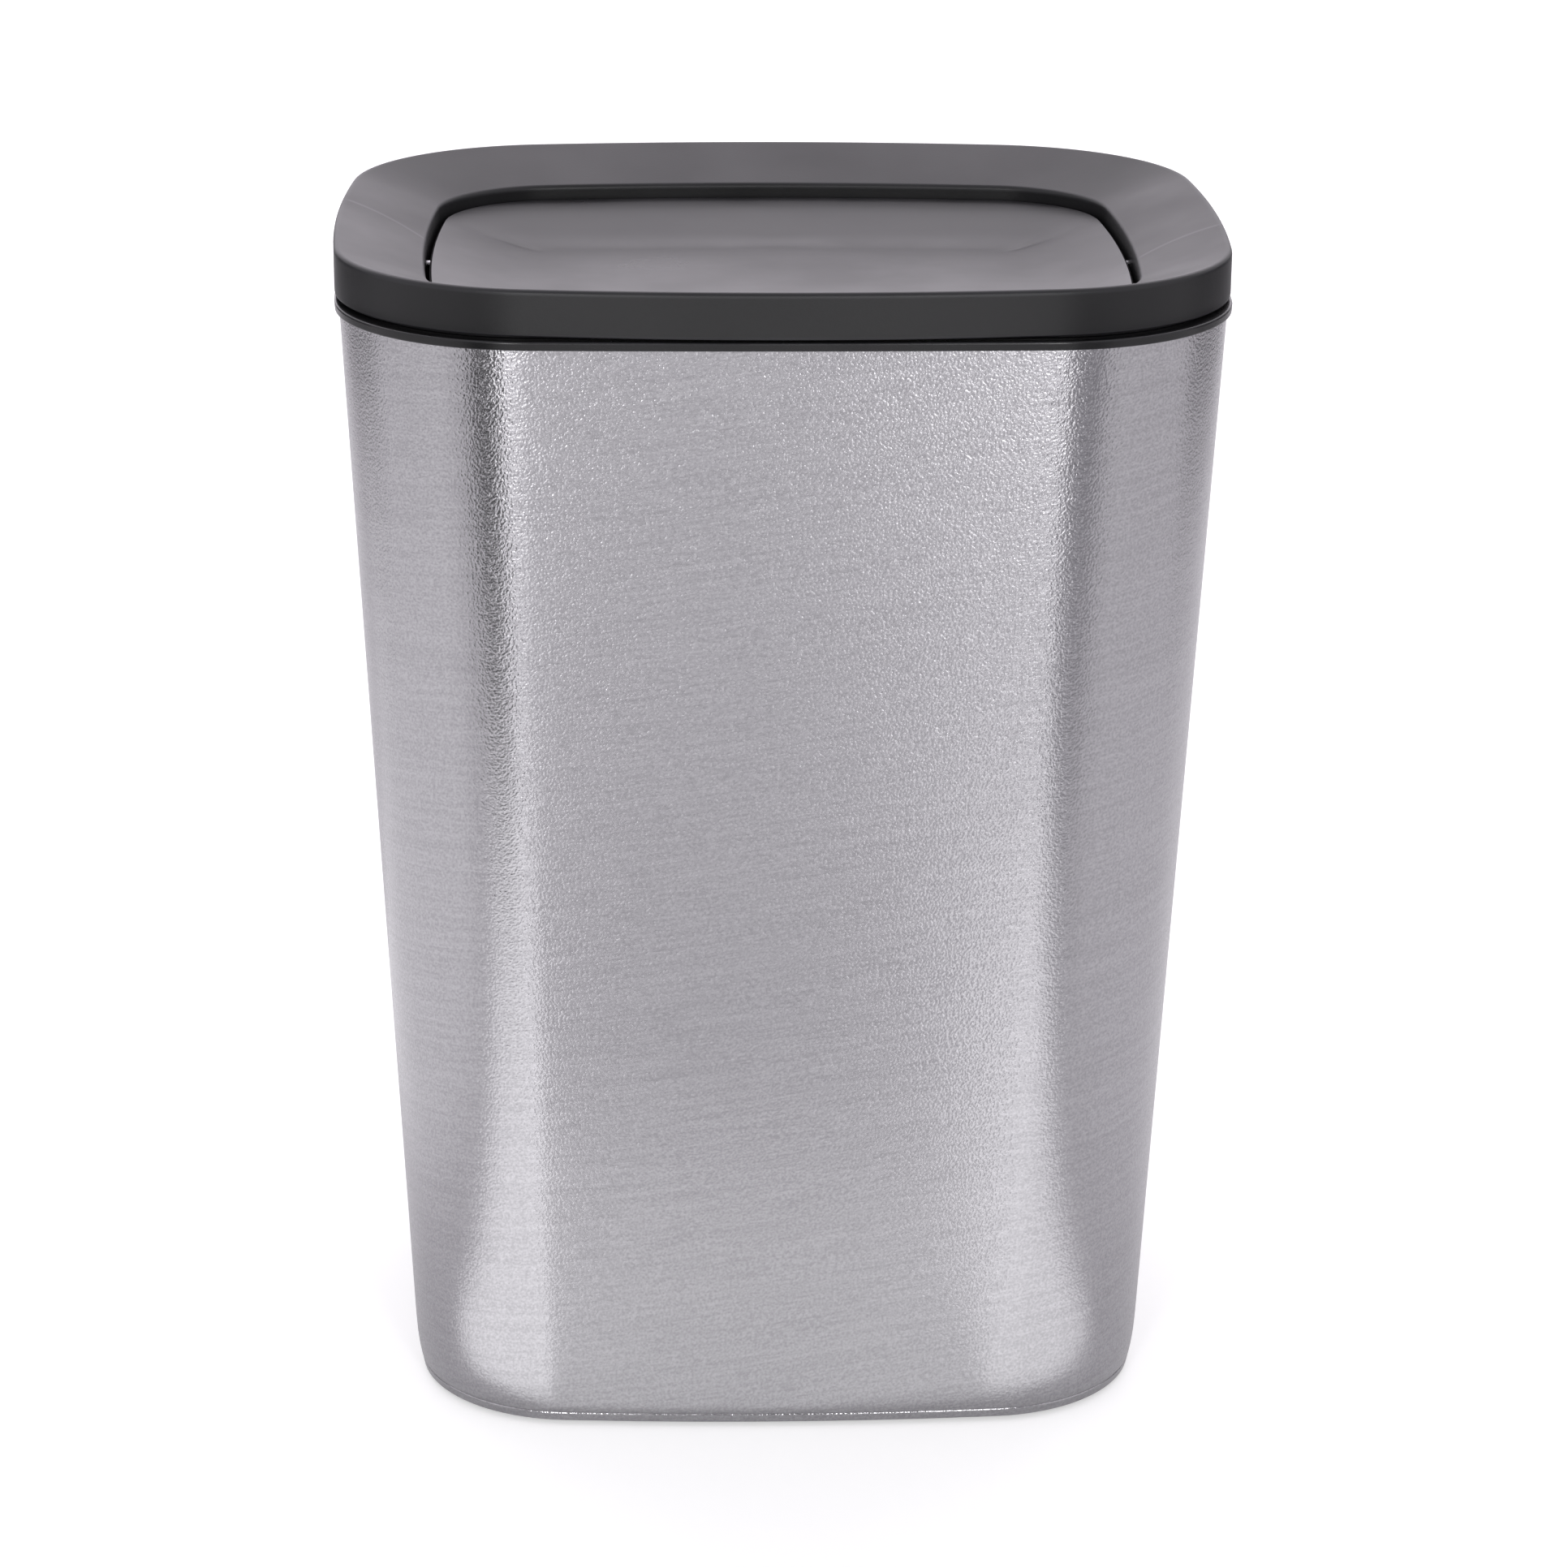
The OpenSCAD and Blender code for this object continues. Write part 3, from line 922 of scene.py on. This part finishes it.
@dataclass
class Flap:
    """The dished push flap: a panel with a sloping margin, a rim under its edge, ribs and pin blocks."""

    sizes: BinSizes
    side_margin: float = 17.0
    front_margin: float = 29.0
    dish_depth: float = 4.5
    floor_bow: float = 1.0
    floor_corner_r: float = 6.0
    crease_r: float = 60.0
    crease_run: float = 15.0
    core_corner_r: float = 3.0
    thickness: float = 1.8
    rim_h: float = 4.6
    rim_t: float = 1.6
    rib_h: float = 3.0
    rib_t: float = 1.6
    rib_x: float = 25.0
    rib_y: float = 18.0
    rib_sink: float = 0.6
    rib_draft: float = 0.25
    rib_round: float = 0.35
    bevel: float = 0.45
    bevel_round: float = 0.12
    rim_round: float = 0.3
    block_w: float = 5.0
    block_l: float = 5.0
    block_draft: float = 0.1
    block_round: float = 0.4

    @property
    def out(self) -> float:
        """Inset of the flap's edge from the lid's band."""
        return self.sizes.ring_w + self.sizes.flap_gap

    @property
    def floor(self) -> Outline:
        """Outline of the dish's flat floor.

        Returns:
            The outline.
        """
        lid = self.sizes.lid
        half_w = lid.half_w - self.out - self.side_margin
        half_d = lid.half_d - self.out - self.front_margin
        return Outline(half_w, half_d, self.floor_bow, self.floor_bow, self.floor_corner_r)

    @property
    def core(self) -> Outline:
        """Outline inside the floor, where the crease's wide round ends."""
        half_w, half_d = self.floor.half_w - self.crease_run, self.floor.half_d - self.crease_run
        return Outline(half_w, half_d, self.floor_bow, self.floor_bow, self.core_corner_r)

    def panel(self) -> Piece:
        """Sweeps the panel: its dished top, the bevelled edge and the rim under the edge.

        Returns:
            The panel as one piece.
        """
        s = self.sizes
        lid, floor, core = s.lid.ring, self.floor.ring, self.core.ring
        floor_z = s.flap_z - self.dish_depth
        under_z = floor_z - self.thickness
        rim_z = s.flap_z - self.rim_h
        rim_in = self.out + self.rim_t
        rim_drop = self.thickness + self.dish_depth * self.rim_t / self.side_margin
        corners = [
            Corner(core(0, under_z)),
            Corner(floor(0, under_z), self.crease_r),
            Corner(lid(rim_in, s.flap_z - rim_drop), self.rim_round),
            Corner(lid(rim_in, rim_z), self.rim_round),
            Corner(lid(self.out, rim_z), self.rim_round),
            Corner(lid(self.out, s.flap_z - self.bevel), self.bevel_round),
            Corner(lid(self.out + self.bevel, s.flap_z), self.bevel_round),
            Corner(floor(0, floor_z), self.crease_r),
            Corner(core(0, floor_z)),
        ]
        return Section(corners, closed=False, steps=10).piece("flap_panel")

    def blocks(self) -> list[Piece]:
        """Makes the ribs and the two pin blocks under the panel.

        Returns:
            The ribs and blocks, which are not joined yet.
        """
        s = self.sizes
        under_z = s.flap_z - self.dish_depth - self.thickness
        half_t = self.rib_t / 2
        half_x, half_y = self.floor.half_w - half_t, self.floor.half_d - half_t
        ribs = [(0, y, half_x, half_t) for y in (-self.rib_y, self.rib_y)]
        ribs += [(x, 0, half_t, half_y) for x in (-self.rib_x, self.rib_x)]
        made = []
        for x, y, reach_x, reach_y in ribs:
            low = (x - reach_x, y - reach_y, under_z - self.rib_h)
            high = (x + reach_x, y + reach_y, under_z + self.rib_sink)
            made.append(moulded_block(f"rib_{x}_{y}", low, high, self.rib_draft, self.rib_round))
        edge_x = s.lid.half_w - self.out
        for side in (-1, 1):
            xs = sorted((side * (edge_x - self.block_l), side * (edge_x - self.rim_t / 2)))
            low = (xs[0], -self.block_w / 2, s.flap_z - self.rim_h)
            high = (xs[1], self.block_w / 2, s.pin_z + s.pin_r)
            made.append(moulded_block(f"pin_block_{side}", low, high, self.block_draft, self.block_round))
        return made

    def build(self) -> None:
        """Makes and dresses the flap."""
        finish = SatinPolypropylene.flap()
        dress(self.panel(), Body.FLAP, Slot.FLAP, finish, "flap")
        dress(joined("flap_ribs_and_pin_blocks", self.blocks()), Body.FLAP, Slot.FLAP, finish)


@dataclass
class Hardware:
    """The steel pins and the rubber feet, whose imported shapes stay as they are."""

    pins: tuple[str, ...] = ("pivot_pin_left", "pivot_pin_right")
    feet: tuple[str, ...] = ("foot_front_left", "foot_front_right", "foot_rear_left", "foot_rear_right")

    def build(self) -> None:
        """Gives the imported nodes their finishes."""
        kinds = ((self.pins, Slot.PIN, DrawnSteel()), (self.feet, Slot.RUBBER, MouldedRubber()))
        for names, slot, finish in kinds:
            material = finish.material()
            for name in names:
                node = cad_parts[name]
                node.data.materials.clear()
                node.data.materials.append(material)
                node.data.shade_smooth()
                node.data.set_sharp_from_angle(angle=math.radians(SHARP_ANGLE))
                log.info("%s: packed shape, finish %s", name, material.name)


# Finishes


@dataclass(frozen=True)
class Grain:
    """A noise whose blotches have a real size in millimetres; it is about 0.5 on average."""

    size_mm: tuple[float, float, float]
    layers: float = 2.0

    def lay(self, tree: Tree, place: Value) -> Node:
        """Lays the noise over a place in metres.

        Args:
            tree: The node tree.
            place: The point in metres.

        Returns:
            The noise's node.
        """
        scale = [1 / (size * MM) for size in self.size_mm]
        scaled = add(tree, "ShaderNodeVectorMath", [place, scale], operation="MULTIPLY")
        return add(tree, "ShaderNodeTexNoise", {"Vector": scaled, "Scale": 1.0, "Detail": self.layers})


@dataclass(frozen=True)
class Finish:
    """What every finish shares: a Principled surface whose patterns work in metres on the object.

    The tone sways the colour and the roughness. The relief gives the bump; without one of its
    own the tone gives it.
    """

    name: str = "finish"
    dark: str = "#808080"
    light: str = "#808080"
    roughness: tuple[float, float] = (0.5, 0.5)
    metallic: float = 0.0
    ior: float = 1.5
    specular: float = 0.5
    tone: Grain = Grain((10, 10, 10))
    tone_span: tuple[float, float] = (0.35, 0.65)
    gloss_span: tuple[float, float] = (0.3, 0.7)
    relief: Grain | None = None
    relief_mm: float = 0.01

    def material(self) -> bpy.types.Material:
        """Makes the finish's material, once for all its pieces.

        Returns:
            The material.
        """
        made = bpy.data.materials.get(self.name)
        if made is None:
            made = bpy.data.materials.new(self.name)
            tree = new_tree(made)
            surface = add(tree, "ShaderNodeBsdfPrincipled", self.inputs(tree))
            add(tree, "ShaderNodeOutputMaterial", {"Surface": surface})
        return made

    def colour(self, tree: Tree, place: Value, tone: Value) -> Value:
        """Sways the colour between dark and light.

        Args:
            tree: The node tree.
            place: The point in metres.
            tone: The tone's noise.

        Returns:
            The colour.
        """
        share = add(tree, "ShaderNodeMapRange", [tone, *self.tone_span, 0, 1])
        ends = {0: share, 6: linear(self.dark), 7: linear(self.light)}
        return add(tree, "ShaderNodeMix", ends, data_type="RGBA").outputs[2]

    def inputs(self, tree: Tree) -> dict[str, Value]:
        """Builds the patterns that the Principled surface takes.

        Args:
            tree: The node tree.

        Returns:
            The surface's inputs by name.
        """
        place = add(tree, "ShaderNodeTexCoord").outputs["Object"]
        tone = self.tone.lay(tree, place)
        relief = self.relief.lay(tree, place) if self.relief else tone
        bump = {"Height": relief, "Distance": self.relief_mm * MM, "Strength": 1.0}
        return {
            "Base Color": self.colour(tree, place, tone),
            "Metallic": self.metallic,
            "Roughness": add(tree, "ShaderNodeMapRange", [tone, *self.gloss_span, *self.roughness]),
            "IOR": self.ior,
            "Specular IOR Level": self.specular,
            "Normal": add(tree, "ShaderNodeBump", bump),
        }


@dataclass(frozen=True)
class BrushedStainless(Finish):
    """Stainless sheet, belt brushed level before it was bent round.

    The eye sees level hairlines that smear reflections upwards, and a sparkle of fine grit
    where a bright and a dark reflection meet.
    """

    name: str = "brushed_stainless_sheet"
    dark: str = "#A5A4A7"
    light: str = "#BAB9BC"
    roughness: tuple[float, float] = (0.21, 0.25)
    metallic: float = 1.0
    anisotropy: float = 0.8
    # A quarter turn, so that reflections smear upwards
    smear_turn: float = 0.25
    # Across the brushing: the belt's scratches are 0.05 mm wide, drawn 0.3 mm so that they show
    tone: Grain = Grain((7, 7, 0.3), 3)
    relief_mm: float = 0.003
    band: Grain = Grain((40, 40, 0.9), 2)
    # Single grits are about 0.1 mm, drawn 0.55 mm so that they show
    grit: Grain = Grain((0.55, 0.55, 0.55), 1)
    grit_mm: float = 0.08
    # How much more the grit lightens and darkens the sheet than the brushing does
    speck_share: float = 2.5
    speck_span: float = 0.55
    # The belt ran a little off level: its lines climb to the right all round, up to the seam
    climb: float = 0.12
    wrap_mm: float = 100.0

    def wrapped(self, tree: Tree) -> Node:
        """Lowers the height of every place round the bin, so that level patterns climb.

        Args:
            tree: The node tree.

        Returns:
            The node that gives the places.
        """
        place = add(tree, "ShaderNodeTexCoord").outputs["Object"]
        x, y, z = add(tree, "ShaderNodeSeparateXYZ", [place]).outputs
        back = add(tree, "ShaderNodeMath", [y, -1.0], operation="MULTIPLY")
        round_way = add(tree, "ShaderNodeMath", [x, back], operation="ARCTAN2")
        fall = -self.climb * self.wrap_mm * MM
        height = add(tree, "ShaderNodeMath", [round_way, fall, z], operation="MULTIPLY_ADD")
        return add(tree, "ShaderNodeCombineXYZ", [x, y, height])

    def inputs(self, tree: Tree) -> dict[str, Value]:
        """Builds hairlines, broader brush bands and grit.

        Args:
            tree: The node tree.

        Returns:
            The surface's inputs by name.
        """
        place = self.wrapped(tree)
        hairline, band, grit = (grain.lay(tree, place) for grain in (self.tone, self.band, self.grit))
        lines = add(tree, "ShaderNodeMath", [hairline, band], operation="ADD")
        specks = add(tree, "ShaderNodeMath", [grit, self.speck_share, lines], operation="MULTIPLY_ADD")
        middle = 1 + self.speck_share / 2
        span = (middle - self.speck_span, middle + self.speck_span)
        share = add(tree, "ShaderNodeMapRange", [specks, *span, 0, 1])
        ends = {0: share, 6: linear(self.dark), 7: linear(self.light)}
        scratched = {"Height": hairline, "Distance": self.relief_mm * MM, "Strength": 1.0}
        below = add(tree, "ShaderNodeBump", scratched)
        gritty = {"Height": grit, "Distance": self.grit_mm * MM, "Strength": 1.0, "Normal": below}
        return {
            "Base Color": add(tree, "ShaderNodeMix", ends, data_type="RGBA").outputs[2],
            "Metallic": self.metallic,
            "Roughness": add(tree, "ShaderNodeMapRange", [hairline, *self.gloss_span, *self.roughness]),
            "Anisotropic": self.anisotropy,
            "Anisotropic Rotation": self.smear_turn,
            "Normal": add(tree, "ShaderNodeBump", gritty),
        }


@dataclass(frozen=True)
class WeldedStainless(Finish):
    """The flattened laser weld of the sheet: finer and a little duller than the brushed face."""

    name: str = "welded_stainless_bead"
    dark: str = "#8E8B8C"
    light: str = "#B0AEB2"
    roughness: tuple[float, float] = (0.36, 0.52)
    metallic: float = 1.0
    tone: Grain = Grain((3, 3, 0.9))
    relief_mm: float = 0.02


@dataclass(frozen=True)
class SatinPolypropylene(Finish):
    """Charcoal polypropylene moulded in a fine spark-eroded tool.

    The eye sees near black where it faces it, a grey bloom where the light grazes it, a fine
    even grain, and outer edges that handling has polished a little lighter.
    """

    name: str = "moulded_charcoal_polypropylene"
    dark: str = "#0D0D0F"
    light: str = "#111113"
    edge: str = "#28282B"
    roughness: tuple[float, float] = (0.36, 0.44)
    ior: float = 1.49
    # The pits scatter part of the mirror reflection
    specular: float = 0.43
    tone: Grain = Grain((28, 28, 28), 3)
    # Spark erosion leaves pits of about 0.1 mm, drawn 0.4 mm so that they show
    relief: Grain = Grain((0.4, 0.4, 0.4))
    relief_mm: float = 0.012
    # Where two streams of melt met: a point on the line, its slope and its bow, in millimetres
    knit_lines: tuple[tuple[float, float, float, float], ...] = ()
    # A knit line is about 0.1 mm wide, drawn 1.2 mm each way so that it shows
    knit_w_mm: float = 1.2
    knit_reach_mm: tuple[float, float] = (8, 9.6)
    knit_colour: str = "#464448"

    @classmethod
    def lid(cls) -> "SatinPolypropylene":
        """The lid ring's plastic, which filled from both ends and met beside the flap."""
        return cls(knit_lines=((-85.0, 9.8, 0.72, -0.039), (85.0, -13.9, -0.29, -0.034)))

    @classmethod
    def flap(cls) -> "SatinPolypropylene":
        """The flap's plastic: the same, from a smoother tool."""
        name = "moulded_charcoal_polypropylene_smooth"
        return cls(name, "#0F0F11", "#131315", roughness=(0.27, 0.35), specular=0.5, relief_mm=0.006)

    @classmethod
    def collar(cls) -> "SatinPolypropylene":
        """The collar's plastic: polished tool, a little glossier."""
        name = "moulded_black_polypropylene_gloss"
        return cls(name, "#101011", "#141415", roughness=(0.2, 0.3), relief_mm=0.003)

    def knit(self, tree: Tree, place: Value, line: tuple[float, float, float, float]) -> Node:
        """Draws one fine knit line, which crosses the ring from its edge to the flap.

        Args:
            tree: The node tree.
            place: The point in metres.
            line: A point on the line, its slope and its bow, in millimetres.

        Returns:
            How much of the line a point holds, from 0 to 1.
        """
        point_x, point_y, slope, bow = line
        x, y, _ = add(tree, "ShaderNodeSeparateXYZ", [place]).outputs
        along = add(tree, "ShaderNodeMath", [x, 1 / MM, -point_x], operation="MULTIPLY_ADD")
        rise = add(tree, "ShaderNodeMath", [along, bow, -slope], operation="MULTIPLY_ADD")
        path = add(tree, "ShaderNodeMath", [along, rise, point_y], operation="MULTIPLY_ADD")
        off = add(tree, "ShaderNodeMath", [y, 1 / MM], operation="MULTIPLY")
        gap = add(tree, "ShaderNodeMath", [off, path], operation="SUBTRACT")
        width = add(tree, "ShaderNodeMath", [gap], operation="ABSOLUTE")
        near = add(tree, "ShaderNodeMapRange", [width, 0, self.knit_w_mm, 1, 0])
        reach = add(tree, "ShaderNodeMath", [along], operation="ABSOLUTE")
        ends = add(tree, "ShaderNodeMapRange", [reach, *self.knit_reach_mm, 1, 0])
        return add(tree, "ShaderNodeMath", [near, ends], operation="MULTIPLY")

    def colour(self, tree: Tree, place: Value, tone: Value) -> Value:
        """Adds the worn edges and the knit lines to the clouding of the melt.

        Args:
            tree: The node tree.
            place: The point in metres.
            tone: The tone's noise.

        Returns:
            The colour.
        """
        worn = add(tree, "ShaderNodeAttribute", attribute_name=Pattern.EDGE.value).outputs["Fac"]
        patchy = add(tree, "ShaderNodeMath", [worn, tone], operation="MULTIPLY")
        layers = [(patchy, self.edge)]
        layers += [(self.knit(tree, place, line), self.knit_colour) for line in self.knit_lines]
        mixed = super().colour(tree, place, tone)
        for share, code in layers:
            ends = {0: share, 6: mixed, 7: linear(code)}
            mixed = add(tree, "ShaderNodeMix", ends, data_type="RGBA").outputs[2]
        return mixed


@dataclass(frozen=True)
class GrainedPolypropylene(Finish):
    """Black polypropylene moulded in a lightly grained tool.

    The eye sees a soft grey sheen, leathery pits and upright scuffs from lifting it in and out.
    """

    name: str = "moulded_grained_polypropylene"
    dark: str = "#18181A"
    light: str = "#242426"
    roughness: tuple[float, float] = (0.42, 0.58)
    ior: float = 1.49
    tone: Grain = Grain((3, 3, 40), 3)
    tone_span: tuple[float, float] = (0.45, 0.7)
    gloss_span: tuple[float, float] = (0.35, 0.65)
    relief: Grain = Grain((0.9, 0.9, 0.9))
    relief_mm: float = 0.03


@dataclass(frozen=True)
class MattPolypropylene(GrainedPolypropylene):
    """Black polypropylene from a blasted tool: flat and dull."""

    name: str = "moulded_matt_polypropylene"
    roughness: tuple[float, float] = (0.55, 0.7)
    relief: Grain = Grain((0.5, 0.5, 0.5))
    relief_mm: float = 0.02


@dataclass(frozen=True)
class MouldedRubber(Finish):
    """Black nitrile rubber, moulded: dull, with a dusty bloom."""

    name: str = "moulded_black_rubber"
    dark: str = "#191919"
    light: str = "#2B2A29"
    roughness: tuple[float, float] = (0.7, 0.85)
    tone: Grain = Grain((1.2, 1.2, 1.2), 4)
    tone_span: tuple[float, float] = (0.4, 0.65)
    relief_mm: float = 0.02


@dataclass(frozen=True)
class DrawnSteel(Finish):
    """Bright drawn steel wire: draw lines along it and a clean glint."""

    name: str = "drawn_bright_steel_wire"
    dark: str = "#B9B8BC"
    light: str = "#D6D5D8"
    roughness: tuple[float, float] = (0.18, 0.3)
    metallic: float = 1.0
    tone: Grain = Grain((6, 0.12, 0.12))
    relief_mm: float = 0.003


# Studio


@dataclass(frozen=True)
class Softbox:
    """A soft lamp: where it stands, what it looks at, its size and its power."""

    name: str
    place: tuple[float, float, float]
    target: tuple[float, float, float]
    size: tuple[float, float]
    watts: float
    tint: str = "#FFFFFF"

    def build(self) -> None:
        """Hangs the lamp, out of the camera's sight."""
        light = bpy.data.lights.new(self.name, "AREA")
        light.shape = "RECTANGLE"
        light.size, light.size_y = self.size
        light.energy = self.watts
        light.color = linear(self.tint)[:3]
        lamp = bpy.data.objects.new(self.name, light)
        bpy.context.scene.collection.objects.link(lamp)
        lamp.location = self.place
        lamp.rotation_euler = (Vector(self.target) - Vector(self.place)).to_track_quat("-Z", "Y").to_euler()
        lamp.visible_camera = False


def paper(name: str, grey: str, glow: float) -> bpy.types.Material:
    """Makes a matt paper that can glow.

    Args:
        name: The material's name.
        grey: Its colour.
        glow: The strength of its glow.

    Returns:
        The material.
    """
    made = bpy.data.materials.new(name)
    tree = new_tree(made)
    matt = add(tree, "ShaderNodeBsdfDiffuse", {"Color": linear(grey)})
    shine = add(tree, "ShaderNodeEmission", {"Strength": glow}, name="glow")
    both = add(tree, "ShaderNodeAddShader", [matt, shine])
    add(tree, "ShaderNodeOutputMaterial", {"Surface": both})
    return made


@dataclass(frozen=True)
class Card:
    """A card that only metal and gloss can see, to shape the steel's bands.

    Each row is one fold: the left end's X and Y, the right end's X and Y and the height, in
    metres, as the camera sees them.
    """

    name: str
    rows: tuple[tuple[float, float, float, float, float], ...]
    grey: str = "#E2E2E2"
    glow: float = 0.0

    def build(self, turn: Matrix) -> None:
        """Stands or lays the card.

        Args:
            turn: The turn that lines the card up with the camera.
        """
        points = []
        for x0, y0, x1, y1, z in self.rows:
            points += [tuple(turn @ Vector((x0, y0, z))), tuple(turn @ Vector((x1, y1, z)))]
        faces = [(2 * i, 2 * i + 1, 2 * i + 3, 2 * i + 2) for i in range(len(self.rows) - 1)]
        card = mesh_object(self.name, points, faces)
        card.data.materials.append(paper(f"{self.name}_paper", self.grey, self.glow))
        card.visible_camera = card.visible_diffuse = card.visible_shadow = False
        card.visible_transmission = card.visible_volume_scatter = False


@dataclass
class Studio:
    """The pale floor, the white surround, the soft lamps and the camera."""

    lens_mm: float = 102.5
    sensor_mm: float = 36.0
    distance: float = 0.952
    height: float = 0.4483
    pitch: float = 0.3274
    roll: float = 0.0076
    yaw: float = 0.0367
    shift_x: float = -0.00212
    floor_half: float = 6.0
    floor_grey: str = "#E2E2E2"
    floor_glow_seen: float = 0.45
    floor_glow_gloss: float = 0.05
    surround: float = 0.72
    surround_gloss: float = 0.86
    surround_tint: str = "#F9F6FB"
    dim_side: tuple[float, float, float] = (0, -0.87, 0.5)
    dim_level: float = 0.14
    dim_span: tuple[float, float] = (0.8, 0.97)
    clip: tuple[float, float] = (0.05, 50)
    lamps: tuple[Softbox, ...] = (
        Softbox("softbox_back", (0, 1.0, 1.6), (0, 0, 0.2), (2.4, 1.1), 13, "#FCF5FF"),
        Softbox("softbox_horizon", (0, 2.4, 0.85), (0, 0, 0.25), (2.0, 1.1), 5, "#FCF3FF"),
        Softbox("softbox_front_left", (-0.56, -1.86, 0.6), (0, 0, 0.15), (0.22, 1.3), 9),
        Softbox("softbox_front_right", (0.46, -1.9, 0.6), (0, 0, 0.15), (0.18, 1.3), 8),
    )
    cards: tuple[Card, ...] = (
        Card(
            "dark_card_left",
            (
                (-0.27, -0.36, -0.19, -0.41, 0.001),
                (-0.56, -0.74, -0.4, -0.94, 0.001),
                (-0.57, -0.76, -0.41, -0.96, 0.4),
            ),
            "#101012",
        ),
        Card(
            "dark_card_right",
            (
                (0.17, -0.4, 0.28, -0.34, 0.001),
                (0.42, -0.88, 0.68, -0.72, 0.001),
                (0.43, -0.9, 0.69, -0.74, 0.4),
            ),
            "#A4A4A6",
        ),
        Card(
            "dark_side_left",
            ((-0.9, 0.2, -0.55, 1.1, 0.001), (-2.4, 0.4, -1.6, 2.6, 0.001), (-2.4, 0.4, -1.6, 2.6, 0.6)),
            "#505052",
        ),
        Card(
            "dark_side_right",
            ((0.9, 0.2, 0.55, 1.1, 0.001), (2.4, 0.4, 1.6, 2.6, 0.001), (2.4, 0.4, 1.6, 2.6, 0.6)),
            "#505052",
        ),
        Card(
            "white_card_left",
            ((-0.11, -0.06, -0.05, -0.08, 0.001), (-0.26, -0.345, -0.12, -0.4, 0.001)),
            glow=0.9,
        ),
        Card(
            "white_card_right",
            ((0.05, -0.08, 0.11, -0.06, 0.001), (0.11, -0.4, 0.2, -0.33, 0.001)),
            glow=0.8,
        ),
        Card(
            "white_card_front",
            ((-0.1, -0.075, 0.1, -0.075, 0.0008), (-0.14, -0.2, 0.14, -0.2, 0.0008)),
            glow=0.42,
        ),
        Card(
            "white_side_left",
            ((-0.2, -0.18, -0.13, 0.2, 0.001), (-0.8, -0.66, -0.8, 0.42, 0.001)),
            glow=0.3,
        ),
        Card(
            "white_side_right",
            ((0.13, 0.2, 0.2, -0.18, 0.001), (0.8, 0.42, 0.8, -0.66, 0.001)),
            glow=0.1,
        ),
    )

    def floor(self) -> None:
        """Lays the floor, which keeps the object's shadow."""
        half = self.floor_half
        points = [(-half, -half, 0), (half, -half, 0), (half, half, 0), (-half, half, 0)]
        plane = mesh_object("floor", points, [(0, 1, 2, 3)])
        material = paper("pale_paper_floor", self.floor_grey, 0)
        tree = material.node_tree
        path = add(tree, "ShaderNodeLightPath").outputs
        shiny = [path["Is Glossy Ray"], self.floor_glow_gloss]
        gloss = add(tree, "ShaderNodeMath", shiny, operation="MULTIPLY")
        seen = [path["Is Camera Ray"], self.floor_glow_seen, gloss]
        glow = add(tree, "ShaderNodeMath", seen, operation="MULTIPLY_ADD")
        tree.links.new(glow.outputs[0], tree.nodes["glow"].inputs["Strength"])
        plane.data.materials.append(material)

    def world(self) -> None:
        """Surrounds the scene with white for the eye and a plain level for the light."""
        world = bpy.data.worlds.new("white_surround")
        bpy.context.scene.world = world
        tree = new_tree(world)
        path = add(tree, "ShaderNodeLightPath").outputs
        way = add(tree, "ShaderNodeTexCoord").outputs["Generated"]
        facing = add(tree, "ShaderNodeVectorMath", [way, self.dim_side], operation="DOT_PRODUCT")
        levels = [facing.outputs["Value"], *self.dim_span, self.surround_gloss, self.dim_level]
        dimmed = add(tree, "ShaderNodeMapRange", levels, interpolation_type="SMOOTHSTEP")
        gloss = add(tree, "ShaderNodeMix", {0: path["Is Glossy Ray"], 2: self.surround, 3: dimmed})
        plain = add(tree, "ShaderNodeMix", {0: path["Is Camera Ray"], 2: gloss, 3: 1.0})
        tints = {0: path["Is Camera Ray"], 6: linear(self.surround_tint), 7: (1, 1, 1, 1)}
        colour = add(tree, "ShaderNodeMix", tints, data_type="RGBA").outputs[2]
        sky = add(tree, "ShaderNodeBackground", {"Color": colour, "Strength": plain})
        add(tree, "ShaderNodeOutputWorld", {"Surface": sky})

    def camera(self) -> None:
        """Stands the camera where a pinhole fit to the photograph puts it."""
        data = bpy.data.cameras.new("photo_camera")
        data.lens = self.lens_mm
        data.sensor_width = self.sensor_mm
        data.clip_start, data.clip_end = self.clip
        camera = bpy.data.objects.new("photo_camera", data)
        bpy.context.scene.collection.objects.link(camera)
        turn = Matrix.Rotation(-self.yaw, 4, "Z")
        place = turn @ Vector((-self.shift_x, -self.distance, self.height))
        tilt = Matrix.Rotation(math.pi / 2 - self.pitch, 4, "X")
        camera.matrix_world = Matrix.Translation(place) @ turn @ tilt @ Matrix.Rotation(self.roll, 4, "Z")
        bpy.context.scene.camera = camera

    def build(self) -> None:
        """Sets up the whole studio."""
        bpy.context.scene.view_settings.view_transform = "Standard"
        self.floor()
        self.world()
        for lamp in self.lamps:
            lamp.build()
        for card in self.cards:
            card.build(Matrix.Rotation(-self.yaw, 4, "Z"))
        self.camera()


def main() -> None:
    logging.basicConfig(level=logging.INFO, format="%(message)s")
    sizes = BinSizes()
    for assembly in (SteelBody, RimCollar, InnerBucket, BasePan, LidFrame, Flap):
        assembly(sizes).build()
    Hardware().build()
    Studio().build()


if __name__ == "__main__":
    main()
